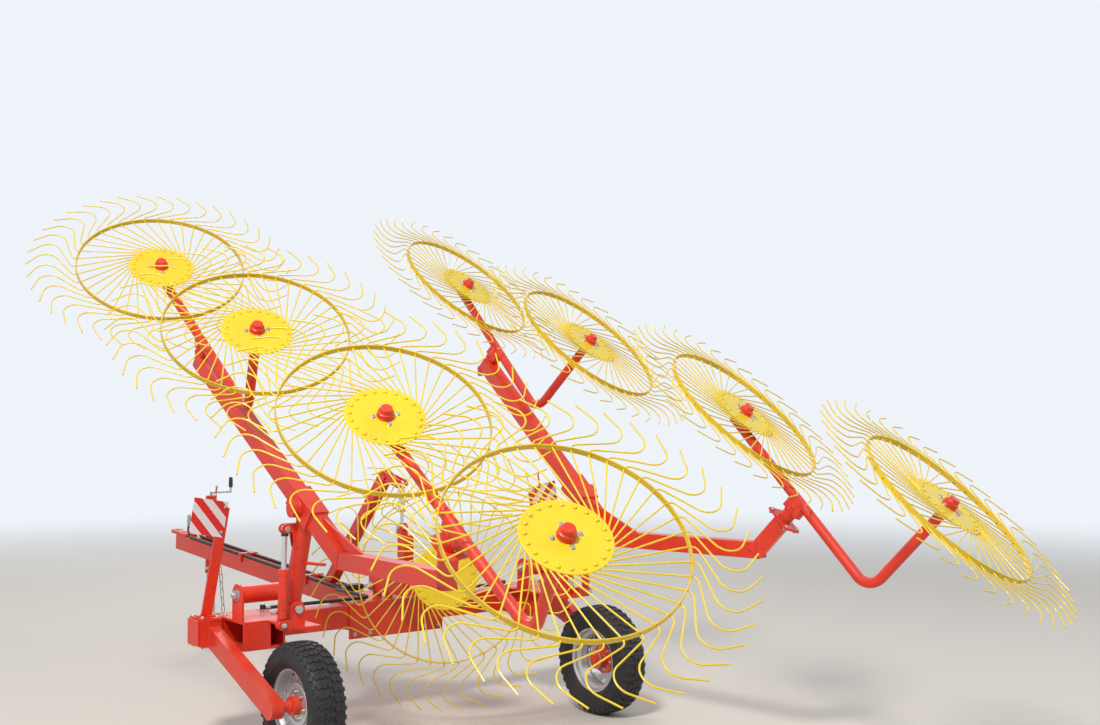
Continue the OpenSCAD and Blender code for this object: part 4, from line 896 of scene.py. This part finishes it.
def makeRockerFittings(side, flip):
    for index, name in ((0, "front"), (2, "rear")):
        mesh = bmesh.new()
        place = rowPlace(index)
        pivot = place @ moved(row["pinAlong"], 0, 0)
        for wheel in (0, 1):
            hub = moved(wheel * row["pitch"], 0, wheel * row["lead"] + rocker["hubCollarZ"])
            addRing(mesh, rocker["hubCollar"], 32, place @ hub)
        addWeldRing(mesh, place @ moved(0, 0, rocker["hubWeldZ"]), *rocker["hubWeld"])
        addDisc(mesh, place @ moved(*rocker["endCapAt"]) @ turned(-90, "Y"), *rocker["endCap"])
        addWeldRing(mesh, pivot @ moved(0, 0, rocker["sleeveWeldZ"]), *rocker["sleeveWeld"])
        addSeams(mesh, rocker["seams"], pivot)
        finishPiece(f"{side}{name.title()}RockerWelds", mesh, flip, f"{side}_{name}_rocker", ["red_paint"])
    mesh = bmesh.new()
    turn = rowPlace(0).to_3x3()
    down, sideways = turn @ -up, turn @ Vector((0, 1, 0))
    low = rowPlace(0) @ Vector((row["pinAlong"], 0, rocker["pivotZ"]))
    addBolt(mesh, low, down, rocker["pivotNut"], nut=True)
    addSplitPin(mesh, low + down * rocker["splitPinAt"], sideways * rocker["splitPinHalf"])
    finishPiece(f"{side}RockerNut", mesh, flip, f"{side}_front_rocker", ["grey_steel"])


for side, flip in bothSides:
    for make in (makeFrameBolts, makeFrameWelds, makePostChain, makeWingPins, makeWingWelds,
                 makeLiftFittings, makeRockerFittings):
        make(side, flip)
print("bolts, pins and welds made")

# hose clamps, jack head and weld beads on the drawbar
hose = {"clampsAlong": (0.834, 1.72), "strap": ((0, 0.0625), (0.126, 0.036, 0.025), 0.004),
        "strapLegs": (((-0.0575, 0.045), (0.008, 0.034, 0.058), 0.002),
                      ((0.0575, 0.045), (0.008, 0.034, 0.058), 0.002)),
        "x": 0.0403, "blockAlong": 0.38, "blockUp": 0.06, "uprightAlong": 2.5851,
        "crossPort": (0.0543, 1.1313, 0.656), "wingEnd": (0.78, 0.72), "wingPort": (0.7655, 0.72, 0.656)}
gallowsTop = Vector((0, 0.61, 1.28))
gallowsBoss = {"weldX": 0.0225, "weld": (0.025, 0.0025), "boltX": 0.03, "bolt": 0.0115}
barSeams = [((-0.04532, 0.04532), (2.63,), (0.051,), (0, 0.14, 0), 0.004),  # tongue
            ((-0.028,), (0.5907, 0.6717), (0.0628,), (0.056, 0, 0), 0.0045)]  # foot of the gallows
jack = {"headCap": [(0.0, 1.0605), (0.0, 1.064), (0.033, 1.064), (0.0385, 1.06), (0.0385, 1.05),
                    (0.038, 1.048), (0.0372, 1.06)],
        "collar": [(0.0378, 0.5202), (0.041, 0.521), (0.041, 0.535), (0.0378, 0.536)],
        "grip": [(0.0072, 1.118), (0.0125, 1.116), (0.0145, 1.13), (0.014, 1.165), (0.012, 1.188),
                 (0.0072, 1.19)],
        "legRing": [(0.0298, 0.0122), (0.0298, 0.03), (0.034, 0.024), (0.042, 0.0125)],
        "footRing": [(0.0775, 0.0118), (0.0785, 0.0145), (0.074, 0.015), (0.0725, 0.0118)],
        "crankRods": (((0, 0, 1.086), (0.155, 0, 1.086), 0.0075), ((0.148, 0, 1.08), (0.148, 0, 1.18), 0.007),
                      ((0, -0.052, 0.605), (0, 0.055, 0.605), 0.0075)),
        "spindle": (0.011, 1.064, 1.092, 16), "gripX": 0.148, "pullRing": (0.012, 0.0016, 6),
        "pullRingAt": (0, -0.057, 0.595)}
barBolts = [((0,), hose["clampsAlong"], (0.075,), (0, 0, 1), 0.01, True),
            ((0,), (2.655, 2.745), (0.07,), (0, 0, 1), 0.013, False),  # tongue
            ((0,), (0.545, 0.682), (0.062,), (0, 0, 1), 0.0095, False)]  # foot of the gallows


def makeDrawbarClamps():
    mesh = bmesh.new()
    for along in hose["clampsAlong"]:
        for (x, z), size, bevel in (hose["strap"], *hose["strapLegs"]):
            addBlock(mesh, barPlace @ moved(x, along, z), size, bevel)
    addSeams(mesh, barSeams, barPlace)
    addRing(mesh, jack["headCap"], 36, jackPlace)
    addRing(mesh, jack["collar"], 36, jackPlace)
    addWeldRing(mesh, moved(*gallowsTop) @ turned(90, "Y") @ moved(0, 0, gallowsBoss["weldX"]),
                *gallowsBoss["weld"])
    finishPiece("drawbarClamps", mesh, Matrix(), "frame", ["red_paint"])


hoseEnds = {"block": ((0.014, 0, 0.011, 6), (0.012, 0.011, 0.034, 20)),
            "cross": ((0.014, 0, 0.01, 6), (0.012, 0.01, 0.026, 20)),
            "upright": ((0.0122, 0.135, 0.166, 20), (0.0145, 0.166, 0.178, 6), (0.0125, 0.178, 0.204, 20),
                        (0.0105, 0.204, 0.216, 20, 0.0095)),
            "wing": ((0.0185, 0.6421, 0.65, 6), (0.0125, 0.6715, 0.679, 6)),
            "wingPort": ((0.0122, 0, 0.026, 20),)}


def makeDrawbarFittings():
    mesh = bmesh.new()
    addBolts(mesh, barBolts, barPlace)
    for s in (-1, 1):
        x, y, z = hose["crossPort"]
        wingX, wingY, wingZ = hose["wingPort"]
        ends = {"block": barPlace @ moved(s * hose["x"], hose["blockAlong"], hose["blockUp"]) @ turned(-90, "X"),
                "cross": facing((s * x, y, z), (s, 0, 0)),
                "upright": barPlace @ moved(s * hose["x"], hose["uprightAlong"], 0),
                "wing": moved(s * hose["wingEnd"][0], hose["wingEnd"][1], 0),
                "wingPort": facing((s * wingX, wingY, wingZ), (-s, 0, 0))}
        for end, place in ends.items():
            addDiscs(mesh, place, hoseEnds[end])
        addBolt(mesh, (s * 0.08, 0.8, 0.705), (s, 0, 0), 0.021, nut=True)  # kicker arm's pivot
        addBolt(mesh, gallowsTop + Vector((s * gallowsBoss["boltX"], 0, 0)), (s, 0, 0), gallowsBoss["bolt"],
                nut=s > 0)
    finishPiece("drawbarFittings", mesh, Matrix(), "frame", ["grey_steel"])


def makeJackFittings():
    mesh = bmesh.new()
    addDisc(mesh, jackPlace, *jack["spindle"])
    for start, end, radius in jack["crankRods"]:
        addRod(mesh, jackPlace @ Vector(start), jackPlace @ Vector(end), radius, 12)
    addRing(mesh, wireOutline(*jack["pullRing"]), 18, jackPlace @ moved(*jack["pullRingAt"]) @ turned(90, "Y"))
    finishPiece("jackCrank", mesh, Matrix(), "frame", ["grey_steel"])
    mesh = bmesh.new()
    addRing(mesh, jack["grip"], 20, jackPlace @ moved(jack["gripX"], 0, 0))
    finishPiece("jackGrip", mesh, Matrix(), "frame", ["black_rubber"])
    mesh = bmesh.new()
    addRing(mesh, jack["legRing"], 40, jackPlace)
    addRing(mesh, jack["footRing"], 48, jackPlace)
    finishPiece("jackFootRing", mesh, Matrix(), "jack_leg", ["grey_steel"])


kicker = {"pin": (0, 0.6, 1.04), "pinHalf": 0.03, "pinRadius": 0.0077, "boltOut": 0.022, "bolt": 0.0125,
          "hubWeldZ": -0.15, "hubWeld": (0.0252, 0.0045), "strutRun": (0.01, 0.24),
          "seams": [((-0.028,), (0.5305, 0.5995), (0.7605,), (0.056, 0, 0), 0.0045),
                    ((-0.0305, 0.0305), (0.534,), (0.7605,), (0, 0.062, 0), 0.0045)],
          "gland": [(0.0103, 0.1502), (0.0103, 0.156), (0.019, 0.156), (0.0215, 0.152), (0.0215, 0.13),
                    (0.0198, 0.128), (0.0198, 0.1502)],
          "band": [(0.0198, 0.036), (0.0212, 0.037), (0.0212, 0.044), (0.0198, 0.045)]}


def makeKickerFittings():
    mesh = bmesh.new()
    pin = Vector(kicker["pin"])
    sideways = Vector((1, 0, 0))
    addRod(mesh, pin - sideways * kicker["pinHalf"], pin + sideways * kicker["pinHalf"],
           kicker["pinRadius"], 16)
    for s in (-1, 1):
        addBolt(mesh, pin + sideways * s * kicker["boltOut"], (s, 0, 0), kicker["bolt"], nut=s > 0)
    finishPiece("kickerArmPins", mesh, Matrix(), "kicker_arm", ["grey_steel"])
    mesh = bmesh.new()
    addSeams(mesh, kicker["seams"])
    addWeldRing(mesh, kickerPlace @ moved(0, 0, kicker["hubWeldZ"]), *kicker["hubWeld"])
    finishPiece("kickerArmWelds", mesh, Matrix(), "kicker_arm", ["red_paint"])
    mesh = bmesh.new()
    strut = moved(*gallowsTop) @ turned(180 - math.degrees(math.atan2(*kicker["strutRun"])), "X")
    addRing(mesh, kicker["gland"], 32, strut)
    addRing(mesh, kicker["band"], 32, strut)
    finishPiece("strutGland", mesh, Matrix(), "kicker_strut_tube", ["bright_steel"])


makeDrawbarClamps()
makeDrawbarFittings()
makeJackFittings()
makeKickerFittings()
print("drawbar, jack and kicker fittings made")


def makeFloor():
    # pale floor that keeps the shadow and fades into the backdrop far away
    mesh = bmesh.new()
    bmesh.ops.create_grid(mesh, x_segments=1, y_segments=1, size=studio["floorSize"])
    data = bpy.data.meshes.new("floor")
    mesh.to_mesh(data)
    mesh.free()
    floor = addObject("floor", data)
    material, tree, shader = newMaterial("paleFloor", Base_Color=(*studio["floor"], 1), Roughness=0.9,
                                         Specular_IOR_Level=0.1)
    coords = addNode(tree, "TexCoord")
    distance = addNode(tree, "VectorMath", operation="LENGTH")
    fade = addNode(tree, "MapRange", From_Min=studio["fadeFrom"], From_Max=studio["fadeTo"],
                   interpolation_type="SMOOTHSTEP")
    both = addNode(tree, "Math", operation="MULTIPLY")
    glow = addNode(tree, "Emission", Color=(*studio["backdrop"], 1))
    mix = addNode(tree, "MixShader")
    linkRows(tree, (coords, "Object", distance, 0), (distance, "Value", fade, "Value"), (fade, 0, both, 0))
    tree.links.new(seenDirectly(tree), both.inputs[1])
    linkRows(tree, (both, 0, mix, 0), (shader, 0, mix, 1), (glow, 0, mix, 2))
    tree.links.new(mix.outputs[0], tree.nodes["Material Output"].inputs["Surface"])
    data.materials.append(material)


makeFloor()
print("floor made")
